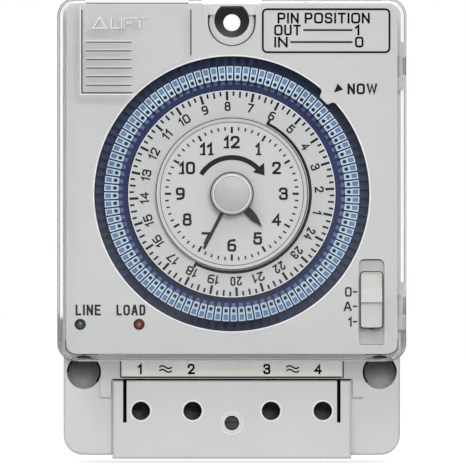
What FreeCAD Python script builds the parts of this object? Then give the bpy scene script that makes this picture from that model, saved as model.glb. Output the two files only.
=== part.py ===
"""A surface-mounted 24-hour time switch with a pin dial, as a parametric FreeCAD document.

Millimetres. +Z is up, the front faces -Y and +X is to the right. The origin is at the middle of the
back face, which lies on the wall. A depth is a distance in front of the wall, so it is -Y.
"""
import FreeCAD, Part
import math
import os
import re
import Sketcher

V = FreeCAD.Vector
ACROSS = V(0, 1, 0)

# The driving dimensions: alias, value in millimetres (or a count, or degrees), what it is.
DIMENSIONS = [
    ("case_width", 74.6, "lower case, side to side"),
    ("case_low", 50.1, "bottom of the case, below the origin"),
    ("case_top", 49.75, "top of the case behind the cover"),
    ("case_corner", 4.4, "radius of the bottom corners"),
    ("case_wall", 2.0, "side walls"),
    ("floor_depth", 2.2, "back wall"),
    ("deck_depth", 36.0, "front of the lower case"),
    ("shoulder_depth", 39.5, "where the upper case steps in under the cover"),
    ("rim_depth", 46.0, "front edge of the upper case"),
    ("rim_width", 73.2, "upper case, side to side"),
    ("rim_top", 49.35, "top of the stepped-in rim"),
    ("rim_low", 27.6, "bottom of the upper compartment"),
    ("rim_corner", 2.4, "corner radius of the rim"),
    ("plate_front", 47.6, "front of the face plate"),
    ("cover_width", 77.0, "clear cover, side to side"),
    ("cover_top", 50.95, "top of the clear cover"),
    ("cover_low", 29.2, "bottom of the clear cover"),
    ("cover_back", 40.0, "back edge of the clear cover"),
    ("cover_front", 54.0, "front of the clear cover"),
    ("cover_wall", 1.2, "clear cover, side walls"),
    ("cover_face", 1.4, "clear cover, front wall"),
    ("cover_corner", 4.0, "clear cover, corner radius"),
    ("hinge_side", 37.25, "cover hinge axis, right of the middle"),
    ("hinge_depth", 41.25, "cover hinge axis, in front of the wall"),
    ("hinge_high", 36.0, "middle of the upper hinge"),
    ("hinge_low", 17.0, "middle of the lower hinge, below the origin"),
    ("hinge_pin_radius", 0.6, "cover hinge pin"),
    ("knuckle_radius", 1.25, "hinge knuckle on the cover"),
    ("running_gap", 0.05, "radial clearance of a shaft in its hole"),
    ("top_screw_height", 46.2, "top counterbore, above the origin"),
    ("top_bore_radius", 3.88, "top counterbore"),
    ("notch_radius", 5.3, "notch of the cover round the top fixing"),
    ("side_screw_side", 32.8, "lower fixings, from the middle"),
    ("side_screw_low", 31.7, "lower fixings, below the origin"),
    ("side_bore_radius", 3.8, "lower counterbores"),
    ("fixing_radius", 1.9, "clearance hole for a fixing screw"),
    ("fixing_floor", 4.0, "thickness under the top fixing screw's head"),
    ("recess_floor", 27.0, "floor of the lower recesses, in front of the wall"),
    ("recess_round", 2.4, "rounding at the bottom of the lower recesses"),
    ("recess_skin", 0.8, "skin that closes a lower fixing until its screw pierces it"),
    ("dial_height", 7.78, "middle of the dial, above the origin"),
    ("opening_radius", 30.4, "opening of the face plate"),
    ("carrier_radius", 30.6, "pin carrier"),
    ("carrier_back", 38.6, "pin carrier, back"),
    ("carrier_front", 41.0, "pin carrier, front"),
    ("pin_count", 96, "time-set pins, one for each quarter of an hour"),
    ("loose_pins", 6, "time-set pins that are modelled as separate slides"),
    ("pin_inner", 25.1, "time-set pin, inner end"),
    ("pin_outer", 28.2, "time-set pin, outer end"),
    ("pin_front", 45.3, "time-set pin, front"),
    ("pin_inner_width", 1.34, "time-set pin, width at the inner end"),
    ("pin_outer_width", 1.54, "time-set pin, width at the outer end"),
    ("pin_foot_width", 0.8, "foot that runs in the carrier's slot"),
    ("scale_radius", 22.9, "24-hour disc"),
    ("scale_front", 46.5, "24-hour disc, front"),
    ("face_radius", 16.86, "clock face"),
    ("face_back", 47.0, "clock face, back"),
    ("face_front", 48.0, "clock face, front"),
    ("knob_radius", 4.85, "setting knob"),
    ("hour_tip", 9.9, "hour hand, tip"),
    ("minute_tip", 13.8, "minute hand, tip"),
    ("hour_angle", 137.25, "hour hand, clockwise from the top"),
    ("minute_angle", 207.0, "minute hand, clockwise from the top"),
    ("eight_angle", 92.8, "hour 8 of the dial, counter-clockwise from +X"),
    ("lug_angle", 45.4, "index lug of the face plate"),
    ("minute_arbor_radius", 1.0, "minute arbor"),
    ("pipe_radius", 2.0, "hour pipe, outside"),
    ("tube_radius", 3.2, "fixed centre tube, outside"),
    ("hub_radius", 5.0, "dial hub, outside"),
    ("arbor_radius", 0.8, "other arbors"),
    ("centre_distance", 12.0, "from the dial axis to the two side arbors"),
    ("motor_distance", 10.8, "from the dial axis down to the motor arbor"),
    ("back_plate_depth", 20.0, "movement back plate"),
    ("front_plate_depth", 33.0, "movement front plate"),
    ("plate_thickness", 1.2, "movement plates"),
    ("post_side", 22.0, "movement posts, from the middle"),
    ("post_rise", 20.0, "movement posts, above and below the dial axis"),
    ("terminal_inner", 8.69, "inner terminals, from the middle"),
    ("terminal_outer", 20.16, "outer terminals, from the middle"),
    ("terminal_low", 40.3, "terminals, below the origin"),
    ("terminal_hole_radius", 2.05, "screwdriver holes"),
    ("lid_width", 52.9, "terminal cover, side to side"),
    ("lid_top", 33.6, "terminal cover's top edge, below the origin"),
    ("lid_low", 50.9, "terminal cover's bottom, below the origin"),
    ("lid_back", 36.2, "terminal cover, back"),
    ("lid_front", 38.5, "terminal cover, front"),
    ("lid_screw_low", 43.0, "terminal cover screw, below the origin"),
    ("switch_side", 30.87, "slide switch, from the middle"),
    ("switch_low", 16.3, "slide switch slot's middle, below the origin"),
    ("slot_width", 5.67, "slide switch slot"),
    ("slot_length", 19.3, "slide switch slot"),
    ("slider_length", 12.7, "slide switch knob"),
    ("slot_corner", 1.2, "corners of the slide switch slot"),
    ("slider_corner", 0.9, "corners of the slide switch knob"),
    ("lamp_low", 21.07, "signal lamps, below the origin"),
    ("power_side", 33.5, "power lamp, left of the middle"),
    ("output_side", 20.5, "output lamp, left of the middle"),
    ("lamp_radius", 1.0, "signal lamps"),
    ("tab_left", 32.3, "thumb tab, left edge"),
    ("tab_right", 9.6, "thumb tab, right edge, left of the middle"),
    ("tab_low", 30.6, "thumb tab, bottom"),
    ("tab_top", 49.9, "thumb tab, top"),
    ("tab_arc", 31.5, "thumb tab, round corner about the dial"),
    ("rib_pitch", 1.9, "grip ribs"),
    ("lever_side", 31.6, "follower lever's pivot, right of the middle"),
    ("lever_height", 24.0, "follower lever's pivot, above the origin"),
    ("lever_back", 42.0, "follower lever, back"),
    ("lever_front", 44.5, "follower lever, front"),
    ("plunger_side", 23.5, "switch plunger, right of the middle"),
    ("plunger_depth", 43.2, "switch plunger, in front of the wall"),
    ("plunger_low", 31.2, "switch plunger's tip, above the origin"),
    ("fine_module", 0.4, "module of the drive and hour gears"),
    ("coarse_module", 0.5, "module of the other gears"),
    ("gear_width", 1.6, "face width of a wheel"),
    ("pinion_width", 2.0, "face width of a pinion"),
    ("drive_depth", 22.2, "drive gear, back"),
    ("motor_pinion_depth", 22.0, "motor pinion, back"),
    ("cannon_depth", 24.4, "cannon pinion, back"),
    ("intermediate_depth", 24.6, "intermediate gear, back"),
    ("second_depth", 27.0, "intermediate pinion, back"),
    ("hour_depth", 27.2, "hour wheel, back"),
    ("reduction_depth", 29.8, "hour pinion and reduction gear, back"),
    ("dial_pinion_depth", 35.0, "reduction pinion, back"),
    ("dial_gear_depth", 35.1, "dial gear, back"),
    ("board_back", 6.0, "circuit board, back"),
    ("board_front", 7.6, "circuit board, front"),
    ("edge_round", 0.6, "rounding of moulded edges"),
    ("cover_edge_round", 1.0, "rounding of the clear cover's front edge"),
]
NAMES = [alias for alias, _, _ in DIMENSIONS]

doc = FreeCAD.newDocument("time_switch")
sheet = doc.addObject("Spreadsheet::Sheet", "Sizes")
for row, (alias, number, meaning) in enumerate(DIMENSIONS, start=1):
    sheet.set(f"A{row}", meaning)
    sheet.set(f"B{row}", str(number))
    sheet.setAlias(f"B{row}", alias)
doc.recompute()


def bound(text):
    """An expression of the document, from a text that uses the sheet's aliases."""
    def name_cell(word):
        return f"Sizes.{word.group()}" if word.group() in NAMES else word.group()
    return re.sub(r"[a-z_]+", name_cell, text)


def number_of(text):
    """The present value of such an expression."""
    return float(sheet.evalExpression(bound(text)))


# ---------------------------------------------------------------- sketches and features

def new_body(name):
    body = doc.addObject("PartDesign::Body", name)
    body.Label = name
    return body


def add_sketch(body, name, plane_role, offset):
    """A sketch on the body's own plane: XZ_Plane faces the front, XY_Plane faces up."""
    plane = next(item for item in body.Origin.OriginFeatures if item.Role == plane_role)
    sketch = body.newObject("Sketcher::SketchObject", f"{body.Name}_{name}_sketch")
    sketch.AttachmentSupport = (plane, [""])
    sketch.MapMode = "FlatFace"
    sketch.setExpression("AttachmentOffset.Base.z", bound(offset))
    return sketch


def bind(sketch, kind, expression, *where):
    index = sketch.addConstraint(Sketcher.Constraint(kind, *where, number_of(expression)))
    sketch.setExpression(f"Constraints[{index}]", bound(expression))


def pin_point(sketch, geometry, corner, across, up):
    """Ties a vertex of the sketch to a place given by two expressions."""
    bind(sketch, "DistanceX", across, -1, 1, geometry, corner)
    bind(sketch, "DistanceY", up, -1, 1, geometry, corner)


def circle(across, up, radius):
    def draw(sketch):
        middle = V(number_of(across), number_of(up), 0)
        index = sketch.addGeometry(Part.Circle(middle, V(0, 0, 1), number_of(radius)))
        bind(sketch, "Radius", radius, index)
        pin_point(sketch, index, 3, across, up)
    return draw


def polygon(*corners):
    def draw(sketch):
        points = [V(number_of(across), number_of(up), 0) for across, up in corners]
        first = sketch.GeometryCount
        for start, end in zip(points, points[1:] + points[:1]):
            sketch.addGeometry(Part.LineSegment(start, end))
        for step, (across, up) in enumerate(corners):
            before = first + (step - 1) % len(corners)
            sketch.addConstraint(Sketcher.Constraint("Coincident", before, 2, first + step, 1))
            pin_point(sketch, first + step, 1, across, up)
    return draw


def box(left, right, low, high):
    return polygon((left, low), (right, low), (right, high), (left, high))


def add_pad(body, name, shapes, start, end, plane="XZ_Plane"):
    """Adds material between two depths, or two heights on the XY plane."""
    sketch = add_sketch(body, name, plane, start)
    for draw in shapes:
        draw(sketch)
    pad = body.newObject("PartDesign::Pad", f"{body.Name}_{name}")
    pad.Profile = sketch
    pad.setExpression("Length", bound(f"({end}) - ({start})"))
    return pad


def add_pocket(body, name, shapes, front, back, plane="XZ_Plane"):
    """Cuts from the front depth back towards the wall, or from the upper height down."""
    sketch = add_sketch(body, name, plane, front)
    for draw in shapes:
        draw(sketch)
    pocket = body.newObject("PartDesign::Pocket", f"{body.Name}_{name}")
    pocket.Profile = sketch
    pocket.setExpression("Length", bound(f"({front}) - ({back})"))
    return pocket


def add_fillet(body, name, radius, chosen):
    """Rounds the edges of the body's present shape that the test picks."""
    doc.recompute()
    base = body.Tip
    edges = [f"Edge{index}" for index, edge in enumerate(base.Shape.Edges, start=1) if chosen(edge)]
    fillet = body.newObject("PartDesign::Fillet", f"{body.Name}_{name}")
    fillet.Base = (base, edges)
    fillet.setExpression("Radius", bound(radius))
    return fillet


def runs_in_depth(edge):
    """True for a straight edge that runs from the wall to the front."""
    if len(edge.Vertexes) != 2 or not isinstance(edge.Curve, Part.Line):
        return False
    return abs(edge.Curve.Direction.y) > 0.999


def corner_test(side, height, depth):
    """Picks depth-wise edges at |x| = side and z = height that span the given depth."""
    def chosen(edge):
        if not runs_in_depth(edge):
            return False
        point = edge.Vertexes[0].Point
        spans = sorted(-vertex.Point.y for vertex in edge.Vertexes)
        at_corner = abs(abs(point.x) - side) < 0.01 and abs(point.z - height) < 0.01
        return at_corner and spans[0] - 0.01 < depth < spans[1] + 0.01
    return chosen


def front_edge_test(depth, highest=1000.0):
    """Picks the edges that lie wholly at a depth and below a height."""
    def chosen(edge):
        points = [vertex.Point for vertex in edge.Vertexes]
        return all(abs(point.y + depth) < 0.01 and point.z < highest for point in points)
    return chosen


def cylinder_piece(name, across, up, radius, back, front, holes=()):
    """A round piece along the depth, with round holes right through given as (x, z, radius)."""
    body = new_body(name)
    add_pad(body, "disc", [circle(across, up, radius)] + [circle(*hole) for hole in holes], back, front)
    return body


def box_piece(name, left, right, low, high, back, front):
    body = new_body(name)
    add_pad(body, "block", [box(left, right, low, high)], back, front)
    return body


def place_on_dial(piece):
    """Lifts a piece that is drawn about its own axis to the dial's axis."""
    piece.setExpression("Placement.Base.z", bound("dial_height"))
    return piece


def shape_piece(name, shape):
    piece = doc.addObject("Part::Feature", name)
    piece.Label = name
    piece.Shape = shape
    return piece


# ---------------------------------------------------------------- casing

def make_rear_case():
    case = new_body("rear_case")
    half = "case_width / 2"
    rim = "rim_width / 2"
    inside = "(rim_width / 2 - case_wall)"
    add_pad(case, "block", [box(f"-{half}", half, "-case_low", "case_top")], "0", "deck_depth")
    upper = box(f"-{half}", half, "-rim_low", "case_top")
    add_pad(case, "upper", [upper], "deck_depth - 1", "shoulder_depth")
    add_pad(case, "rim", [box(f"-{rim}", rim, "-rim_low", "rim_top")], "shoulder_depth - 1", "rim_depth")
    side = number_of(half)
    low = -number_of("case_low")
    top = number_of("case_top")
    add_fillet(case, "bottom_corners", "case_corner", corner_test(side, low, 1))
    add_fillet(case, "top_corners", "rim_corner", corner_test(side, top, 1))
    rim_side = number_of(rim)
    for name, height in (("high", "rim_top"), ("low", "-rim_low")):
        add_fillet(case, f"rim_{name}_corners", "rim_corner", corner_test(rim_side, number_of(height), 45))
    deck_edges = front_edge_test(number_of("deck_depth"), -number_of("rim_low") + 0.01)

    def outer_deck_edge(edge):
        return deck_edges(edge) and edge.BoundBox.ZMin < -number_of("rim_low") - 0.01

    add_fillet(case, "deck_edge", "edge_round", outer_deck_edge)
    hollow = box(f"-{inside}", inside, "-rim_low + case_wall", "rim_top - case_wall")
    add_pocket(case, "hollow", [hollow], "rim_depth", "floor_depth")
    add_pad(case, "screw_column", [circle("0", "top_screw_height - 0.5", "5.0")], "0", "rim_depth - 2")
    counterbore = circle("0", "top_screw_height", "top_bore_radius")
    add_pocket(case, "counterbore", [counterbore], "rim_depth", "fixing_floor")
    add_pad(case, "lip", [box("-4.2", "4.2", "rim_top", "case_top")], "0", "rim_depth - 2")
    add_pocket(case, "column_top", [box("-6", "6", "case_top", "case_top + 3")], "rim_depth", "-1")
    add_pocket(case, "top_fixing", [circle("0", "top_screw_height", "fixing_radius")], "rim_depth", "-1")
    chamber = box("-24.6", "24.6", "-case_low - 1", "-33.2")
    add_pocket(case, "terminal_chamber", [chamber], "deck_depth + 1", "6")
    add_pocket(case, "lead_passage", [box("-23", "23", "-34", "-25")], "18", "7.4")
    for name, sign in (("left", "-"), ("right", "")):
        middle = f"{sign}side_screw_side"
        bore = circle(middle, "-side_screw_low", "side_bore_radius")
        add_pocket(case, f"{name}_counterbore", [bore], "deck_depth + 1", "recess_floor")
        side_sign = -1 if sign == "-" else 1
        add_fillet(case, f"{name}_bowl", "recess_round", recess_test(side_sign))
        fixing = circle(middle, "-side_screw_low", "fixing_radius")
        add_pocket(case, f"{name}_fixing", [fixing], "recess_floor - recess_skin", "-1")
        inner = f"{sign}26.6"
        outer = f"{sign}35.3"
        edges = (inner, outer) if sign == "" else (outer, inner)
        core = box(*edges, "-47.8", "-37.6")
        add_pocket(case, f"{name}_core", [core], "deck_depth - 2", "-1")
        lug_edges = ("26.8", "29.2") if sign == "" else ("-29.2", "-26.8")
        add_pad(case, f"{name}_lug", [box(*lug_edges, "-37.3", "-33")], "deck_depth", "deck_depth + 1")
    for name, sign in (("upper", ""), ("lower", "-")):
        middle = f"{sign}hinge_{'high' if sign == '' else 'low'}"
        recess = box("35.7", "38", f"{middle} - 2.3", f"{middle} + 2.3")
        add_pocket(case, f"{name}_hinge_recess", [recess], "42.8", "39.7")
        for end, start in (("top", f"{middle} + 2.3"), ("bottom", f"{middle} - 5.3")):
            web = box("35.9", "hinge_side", "-hinge_depth - 1.1", "-hinge_depth + 1.1")
            add_pad(case, f"{name}_{end}_web", [web], start, f"{start} + 3", "XY_Plane")
            knuckle = circle("hinge_side", "-hinge_depth", "knuckle_radius - 0.05")
            add_pad(case, f"{name}_{end}_knuckle", [knuckle], start, f"{start} + 3", "XY_Plane")
        bore = circle("hinge_side", "-hinge_depth", "hinge_pin_radius")
        add_pocket(case, f"{name}_pin_bore", [bore], f"{middle} + 6", f"{middle} - 6", "XY_Plane")
    posts = []
    for sign_x in ("", "-"):
        for sign_z in ("+", "-"):
            posts.append(circle(f"{sign_x}post_side", f"dial_height {sign_z} post_rise", "2.6"))
    add_pad(case, "posts", posts, "floor_depth - 1", "back_plate_depth")
    return case


def recess_test(side_sign):
    """Picks the round edge at the floor of a lower recess."""
    def chosen(edge):
        at_floor = all(abs(vertex.Point.y + number_of("recess_floor")) < 0.01 for vertex in edge.Vertexes)
        middle = edge.BoundBox.Center
        near = abs(middle.x - side_sign * number_of("side_screw_side")) < 1
        return at_floor and near and abs(middle.z + number_of("side_screw_low")) < 1
    return chosen


def make_face_plate():
    plate = new_body("face_plate")
    half = "rim_width / 2"
    add_pad(plate, "sheet", [box(f"-{half}", half, "-rim_low", "rim_top")], "rim_depth", "plate_front")
    for name, height in (("top", "rim_top"), ("bottom", "-rim_low")):
        test = corner_test(number_of(half), number_of(height), 46.5)
        add_fillet(plate, f"{name}_corners", "rim_corner", test)
    opening = circle("0", "dial_height", "opening_radius")
    add_pocket(plate, "opening", [opening], "plate_front", "rim_depth - 1")
    inner = "(opening_radius - 1.5)"
    outer = "(opening_radius + 1)"
    corners = []
    for reach, spread in ((inner, "-2.6"), (inner, "+2.6"), (outer, "+3.6"), (outer, "-3.6")):
        angle = f"(lug_angle {spread})"
        corners.append((f"{reach} * cos({angle})", f"dial_height + {reach} * sin({angle})"))
    add_pad(plate, "index_lug", [polygon(*corners)], "rim_depth", "plate_front")
    add_fillet(plate, "lug_tip", "0.5", lug_test(27, 29.3))
    add_fillet(plate, "lug_root", "0.9", lug_test(30.2, 30.6))
    notch = "top_screw_height - 0.5"
    add_pocket(plate, "notch_round", [circle("0", notch, "notch_radius")], "plate_front", "rim_depth - 1")
    notch_box = box("-notch_radius", "notch_radius", notch, "rim_top + 1")
    add_pocket(plate, "notch", [notch_box], "plate_front", "rim_depth - 1")
    slot_low = "-switch_low - slot_length / 2"
    slot_high = "-switch_low + slot_length / 2"
    slot = box("switch_side - slot_width / 2", "switch_side + slot_width / 2", slot_low, slot_high)
    add_pocket(plate, "switch_slot", [slot], "plate_front", "rim_depth - 1")
    add_fillet(plate, "switch_slot_corners", "slot_corner", switch_test)
    for name in ("power", "output"):
        lamp = circle(f"-{name}_side", "-lamp_low", "lamp_radius")
        add_pocket(plate, f"{name}_lamp_hole", [lamp], "plate_front", "rim_depth - 1")
    return plate


def switch_test(edge):
    """Picks the depth-wise edges round the slide switch."""
    if not runs_in_depth(edge):
        return False
    point = edge.Vertexes[0].Point
    beside = abs(point.x - number_of("switch_side")) < number_of("slot_width") / 2 + 0.1
    return beside and abs(point.z + number_of("switch_low")) < number_of("slot_length") / 2 + 0.1


def lug_test(nearest, farthest):
    """Picks the depth-wise edges of the index lug between two radii about the dial."""
    def chosen(edge):
        if not runs_in_depth(edge):
            return False
        point = edge.Vertexes[0].Point
        rise = point.z - number_of("dial_height")
        off_lug = abs(math.degrees(math.atan2(rise, point.x)) - number_of("lug_angle"))
        return off_lug < 6 and nearest < math.hypot(point.x, rise) < farthest
    return chosen


def make_clear_cover():
    cover = new_body("clear_cover")
    half = "cover_width / 2"
    inside = "(cover_width / 2 - cover_wall)"
    add_pad(cover, "block", [box(f"-{half}", half, "-cover_low", "cover_top")], "cover_back", "cover_front")
    side = number_of(half)
    for name, height in (("top", "cover_top"), ("bottom", "-cover_low")):
        add_fillet(cover, f"{name}_corners", "cover_corner", corner_test(side, number_of(height), 50))
    add_fillet(cover, "front_edge", "cover_edge_round", front_edge_test(number_of("cover_front")))
    hollow = box(f"-{inside}", inside, "-cover_low + cover_wall", "cover_top - cover_wall")
    add_pocket(cover, "hollow", [hollow], "cover_front - cover_face", "cover_back - 1")
    inner_side = number_of(inside)
    for name, height in (("top", "cover_top - cover_wall"), ("bottom", "-cover_low + cover_wall")):
        test = corner_test(inner_side, number_of(height), 50)
        add_fillet(cover, f"{name}_inner_corners", "cover_corner - cover_wall", test)
    relief = box("33.2", "40", "-31", "53")
    add_pocket(cover, "hinge_relief", [relief], "hinge_depth + 0.15", "cover_back - 1")
    for name, middle in (("upper", "hinge_high"), ("lower", "-hinge_low")):
        window = box("33.2", "40", f"{middle} - 5.6", f"{middle} + 5.6")
        add_pocket(cover, f"{name}_window", [window], "hinge_depth + 1.6", "cover_back - 1")
        web = box("hinge_side - 0.2", half, "-hinge_depth - 2.4", "-hinge_depth - 0.2")
        add_pad(cover, f"{name}_web", [web], f"{middle} - 2", f"{middle} + 2", "XY_Plane")
        knuckle = circle("hinge_side", "-hinge_depth", "knuckle_radius")
        add_pad(cover, f"{name}_knuckle", [knuckle], f"{middle} - 2", f"{middle} + 2", "XY_Plane")
        bore = circle("hinge_side", "-hinge_depth", "hinge_pin_radius + running_gap")
        add_pocket(cover, f"{name}_bore", [bore], f"{middle} + 3", f"{middle} - 3", "XY_Plane")
    notch = "top_screw_height - 0.5"
    add_pocket(cover, "notch_round", [circle("0", notch, "notch_radius")], "cover_front", "cover_back - 1")
    mouth = "cover_top + 0.1"
    corners = (("-notch_radius", notch), ("notch_radius", notch), ("6.8", mouth), ("-6.8", mouth))
    add_pocket(cover, "notch", [polygon(*corners)], "cover_front", "cover_back - 1")
    window = tab_outline("0.15", "1.3")
    add_pocket(cover, "latch_window", [window], "cover_front", "cover_front - cover_face - 0.1")
    return cover


def tab_outline(grow, rise):
    """The thumb tab's outline: a rectangle whose lower right corner is cut by an arc about the dial."""
    def draw(sketch):
        left = f"-tab_left - {grow}"
        right = f"-tab_right + {grow}"
        low = f"tab_low - {grow}"
        high = f"tab_top + {rise}"
        radius = f"(tab_arc - {grow})"
        foot = f"-sqrt({radius} ^ 2 - ({low} - dial_height) ^ 2)"
        shoulder = f"dial_height + sqrt({radius} ^ 2 - ({right}) ^ 2)"
        places = [(left, low), (foot, low), (right, shoulder), (right, high), (left, high)]
        points = [V(number_of(across), number_of(up), 0) for across, up in places]
        middle = V(0, number_of("dial_height"), 0)
        start_angle = math.atan2(points[2].y - middle.y, points[2].x)
        end_angle = math.atan2(points[1].y - middle.y, points[1].x)
        arc = Part.ArcOfCircle(Part.Circle(middle, V(0, 0, 1), number_of(radius)), start_angle, end_angle)
        sketch.addGeometry(Part.LineSegment(points[0], points[1]))
        sketch.addGeometry(arc)
        sketch.addGeometry(Part.LineSegment(points[2], points[3]))
        sketch.addGeometry(Part.LineSegment(points[3], points[4]))
        sketch.addGeometry(Part.LineSegment(points[4], points[0]))
        for pair in ((0, 2, 1, 2), (1, 1, 2, 1), (2, 2, 3, 1), (3, 2, 4, 1), (4, 2, 0, 1)):
            sketch.addConstraint(Sketcher.Constraint("Coincident", *pair))
        pin_point(sketch, 0, 1, left, low)
        pin_point(sketch, 2, 2, right, high)
        pin_point(sketch, 4, 1, left, high)
        pin_point(sketch, 1, 3, "0", "dial_height")
        bind(sketch, "Radius", radius, 1)
        sketch.addConstraint(Sketcher.Constraint("Horizontal", 0))
        sketch.addConstraint(Sketcher.Constraint("Vertical", 2))
    return draw


def make_open_latch():
    latch = new_body("open_latch")
    add_pad(latch, "tab", [tab_outline("0", "0")], "cover_front - 2.6", "cover_front")
    flange = box("-33.2", "-8.9", "29.9", "48.4")
    add_pad(latch, "flange", [flange], "cover_front - 2.6", "cover_front - cover_face - 0.1")
    clear = circle("0", "dial_height", "tab_arc - 1.2")
    add_pocket(latch, "flange_arc", [clear], "cover_front - cover_face - 0.1", "cover_front - 3")
    above = box("-tab_left - 2", "-tab_right + 2", "48.4", "tab_top + 2")
    add_pocket(latch, "tab_step", [above], "cover_front - cover_face - 0.1", "cover_front - 3")
    ribs = []
    for step in range(6):
        middle = f"(tab_low + 2.1 + rib_pitch * {step})"
        ribs.append(box("-31.3", "-22.1", f"{middle} - 0.35", f"{middle} + 0.35"))
    add_pad(latch, "grip_ribs", ribs, "cover_front - 0.5", "cover_front + 0.35")
    add_pad(latch, "arm", [box("-30.0", "-26.5", "33.6", "36.4")], "plate_front + 0.5", "cover_front - 2")
    return latch


def make_terminal_cover():
    lid = new_body("terminal_cover")
    half = "lid_width / 2"
    add_pad(lid, "sheet", [box(f"-{half}", half, "-lid_low", "-lid_top")], "lid_back", "lid_front")
    add_fillet(lid, "front_edge", "edge_round", front_edge_test(number_of("lid_front")))
    add_pad(lid, "lip", [box(f"-{half}", half, "-lid_low", "-case_low - 0.1")], "30", "lid_back + 0.5")
    holes = []
    for side in ("terminal_inner", "terminal_outer"):
        for sign in ("-", ""):
            holes.append(circle(f"{sign}{side}", "-terminal_low", "terminal_hole_radius"))
    holes.append(circle("0", "-lid_screw_low", "1.65"))
    add_pocket(lid, "driver_holes", holes, "lid_front", "lid_back - 1")
    for name, sign in (("left", "-"), ("right", "")):
        edges = ("-24.1", "-23.3") if sign == "-" else ("23.3", "24.1")
        add_pocket(lid, f"{name}_slit", [box(*edges, "-42.9", "-33")], "lid_front", "lid_back - 1")
    return lid


def make_label_strip():
    return box_piece("label_strip", "-24.35", "24.35", "-32.9", "-29.3", "deck_depth", "deck_depth + 0.8")


# ---------------------------------------------------------------- terminals

def terminal_places():
    return [f"{sign}{side}" for side in ("terminal_inner", "terminal_outer") for sign in ("-", "")]


def make_terminal_block():
    block = new_body("terminal_block")
    add_pad(block, "block", [box("-24.3", "24.3", "-45.6", "-33.8")], "6", "30")
    places = terminal_places()
    for index, side in enumerate(places, start=1):
        chamber = box(f"{side} - 3.8", f"{side} + 3.8", "-19", "-8.5")
        add_pocket(block, f"chamber_{index}", [chamber], "-36", "-47", "XY_Plane")
    screws = [circle(side, "-terminal_low", "2.1") for side in places]
    add_pocket(block, "screw_wells", screws, "30", "15")
    add_pocket(block, "lid_screw_hole", [circle("0", "-lid_screw_low", "1.0")], "30", "22")
    return block


def make_terminal_screws():
    """Four slotted screws: a head, a shank through the clamp plate, and a driver slot."""
    screws = []
    for side in terminal_places():
        middle = V(number_of(side), 0, -number_of("terminal_low"))
        head = Part.makeCylinder(1.95, 3.2, middle + V(0, -25, 0), V(0, -1, 0))
        shank = Part.makeCylinder(1.3, 12.2, middle + V(0, -13.0, 0), V(0, -1, 0))
        slot = Part.makeBox(5, 0.8, 0.7, middle + V(-2.5, -28.4, -0.35))
        screws.append(head.fuse(shank).cut(slot))
    return shape_piece("terminal_screws", Part.makeCompound(screws))


def make_clamp_plates():
    """A drilled clamp plate for each terminal, in the wire chamber."""
    plates = []
    for side in terminal_places():
        middle = V(number_of(side), 0, -number_of("terminal_low"))
        plate = Part.makeBox(7.0, 1.6, 8.0, middle + V(-3.5, -15.4, -4.2))
        hole = Part.makeCylinder(1.3, 4, middle + V(0, -13, 0), V(0, -1, 0))
        plates.append(plate.cut(hole))
    return shape_piece("clamp_plates", Part.makeCompound(plates))


def make_busbars():
    """A strip from each terminal, from the top of the block to the circuit board."""
    bars = []
    for side in terminal_places():
        bars.append(Part.makeBox(2.4, 0.8, 9.4, V(number_of(side) - 1.2, -8.4, -33.8)))
    return shape_piece("busbars", Part.makeCompound(bars))


def make_terminal_cover_screw():
    screw = new_body("terminal_cover_screw")
    add_pad(screw, "head", [circle("0", "-lid_screw_low", "1.55")], "34.4", "37.2")
    add_pad(screw, "shank", [circle("0", "-lid_screw_low", "1.0")], "22.4", "35")
    slot = box("-1.7", "1.7", "-lid_screw_low - 0.25", "-lid_screw_low + 0.25")
    add_pocket(screw, "slot", [slot], "37.2", "36.5")
    return screw


# ---------------------------------------------------------------- gears and arbors

def gear_outline(teeth, module, turn):
    """Closed wire of an involute gear about the origin, in the XZ plane, a tooth pointing at turn degrees."""
    pressure = math.radians(20)
    backlash = 0.10 * module
    pitch = module * teeth / 2
    base = pitch * math.cos(pressure)
    tip = pitch + 0.80 * module
    root = pitch - 1.10 * module
    half_tooth = math.pi / (2 * teeth) - backlash / (2 * pitch)

    def flank_angle(radius):
        lean = math.acos(min(1.0, base / radius))
        return half_tooth + math.tan(pressure) - pressure - (math.tan(lean) - lean)

    def point(radius, angle):
        return V(radius * math.cos(angle), 0, radius * math.sin(angle))

    start = max(base, root)
    radii = [start + (tip - start) * step / 3 for step in range(4)]
    edges = []
    pitch_angle = 2 * math.pi / teeth
    for tooth in range(teeth):
        middle = math.radians(turn) + tooth * pitch_angle
        rising = [point(radius, middle - flank_angle(radius)) for radius in radii]
        falling = [point(radius, middle + flank_angle(radius)) for radius in reversed(radii)]
        if root < base:
            rising.insert(0, point(root, middle - flank_angle(base)))
            falling.append(point(root, middle + flank_angle(base)))
        for start_point, end_point in zip(rising, rising[1:]):
            edges.append(Part.LineSegment(start_point, end_point).toShape())
        edges.append(Part.Arc(rising[-1], point(tip, middle), falling[0]).toShape())
        for start_point, end_point in zip(falling, falling[1:]):
            edges.append(Part.LineSegment(start_point, end_point).toShape())
        next_rise = middle + pitch_angle - flank_angle(start)
        valley = middle + pitch_angle / 2
        edges.append(Part.Arc(falling[-1], point(root, valley), point(root, next_rise)).toShape())
    return Part.Wire(edges)


def make_gear(name, teeth, module, turn, across, up, back, width, bore):
    """A spur gear at a place given by expressions, bored for its arbor."""
    depth = number_of(back)
    thickness = number_of(width)
    face = Part.Face(gear_outline(teeth, number_of(module), turn))
    wheel = face.extrude(V(0, -thickness, 0))
    wheel.translate(V(0, -depth, 0))
    hole = Part.makeCylinder(number_of(bore), thickness + 2, V(0, 1 - depth, 0), V(0, -1, 0))
    piece = shape_piece(name, wheel.cut(hole))
    piece.setExpression("Placement.Base.x", bound(across))
    piece.setExpression("Placement.Base.z", bound(up))
    return piece


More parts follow.
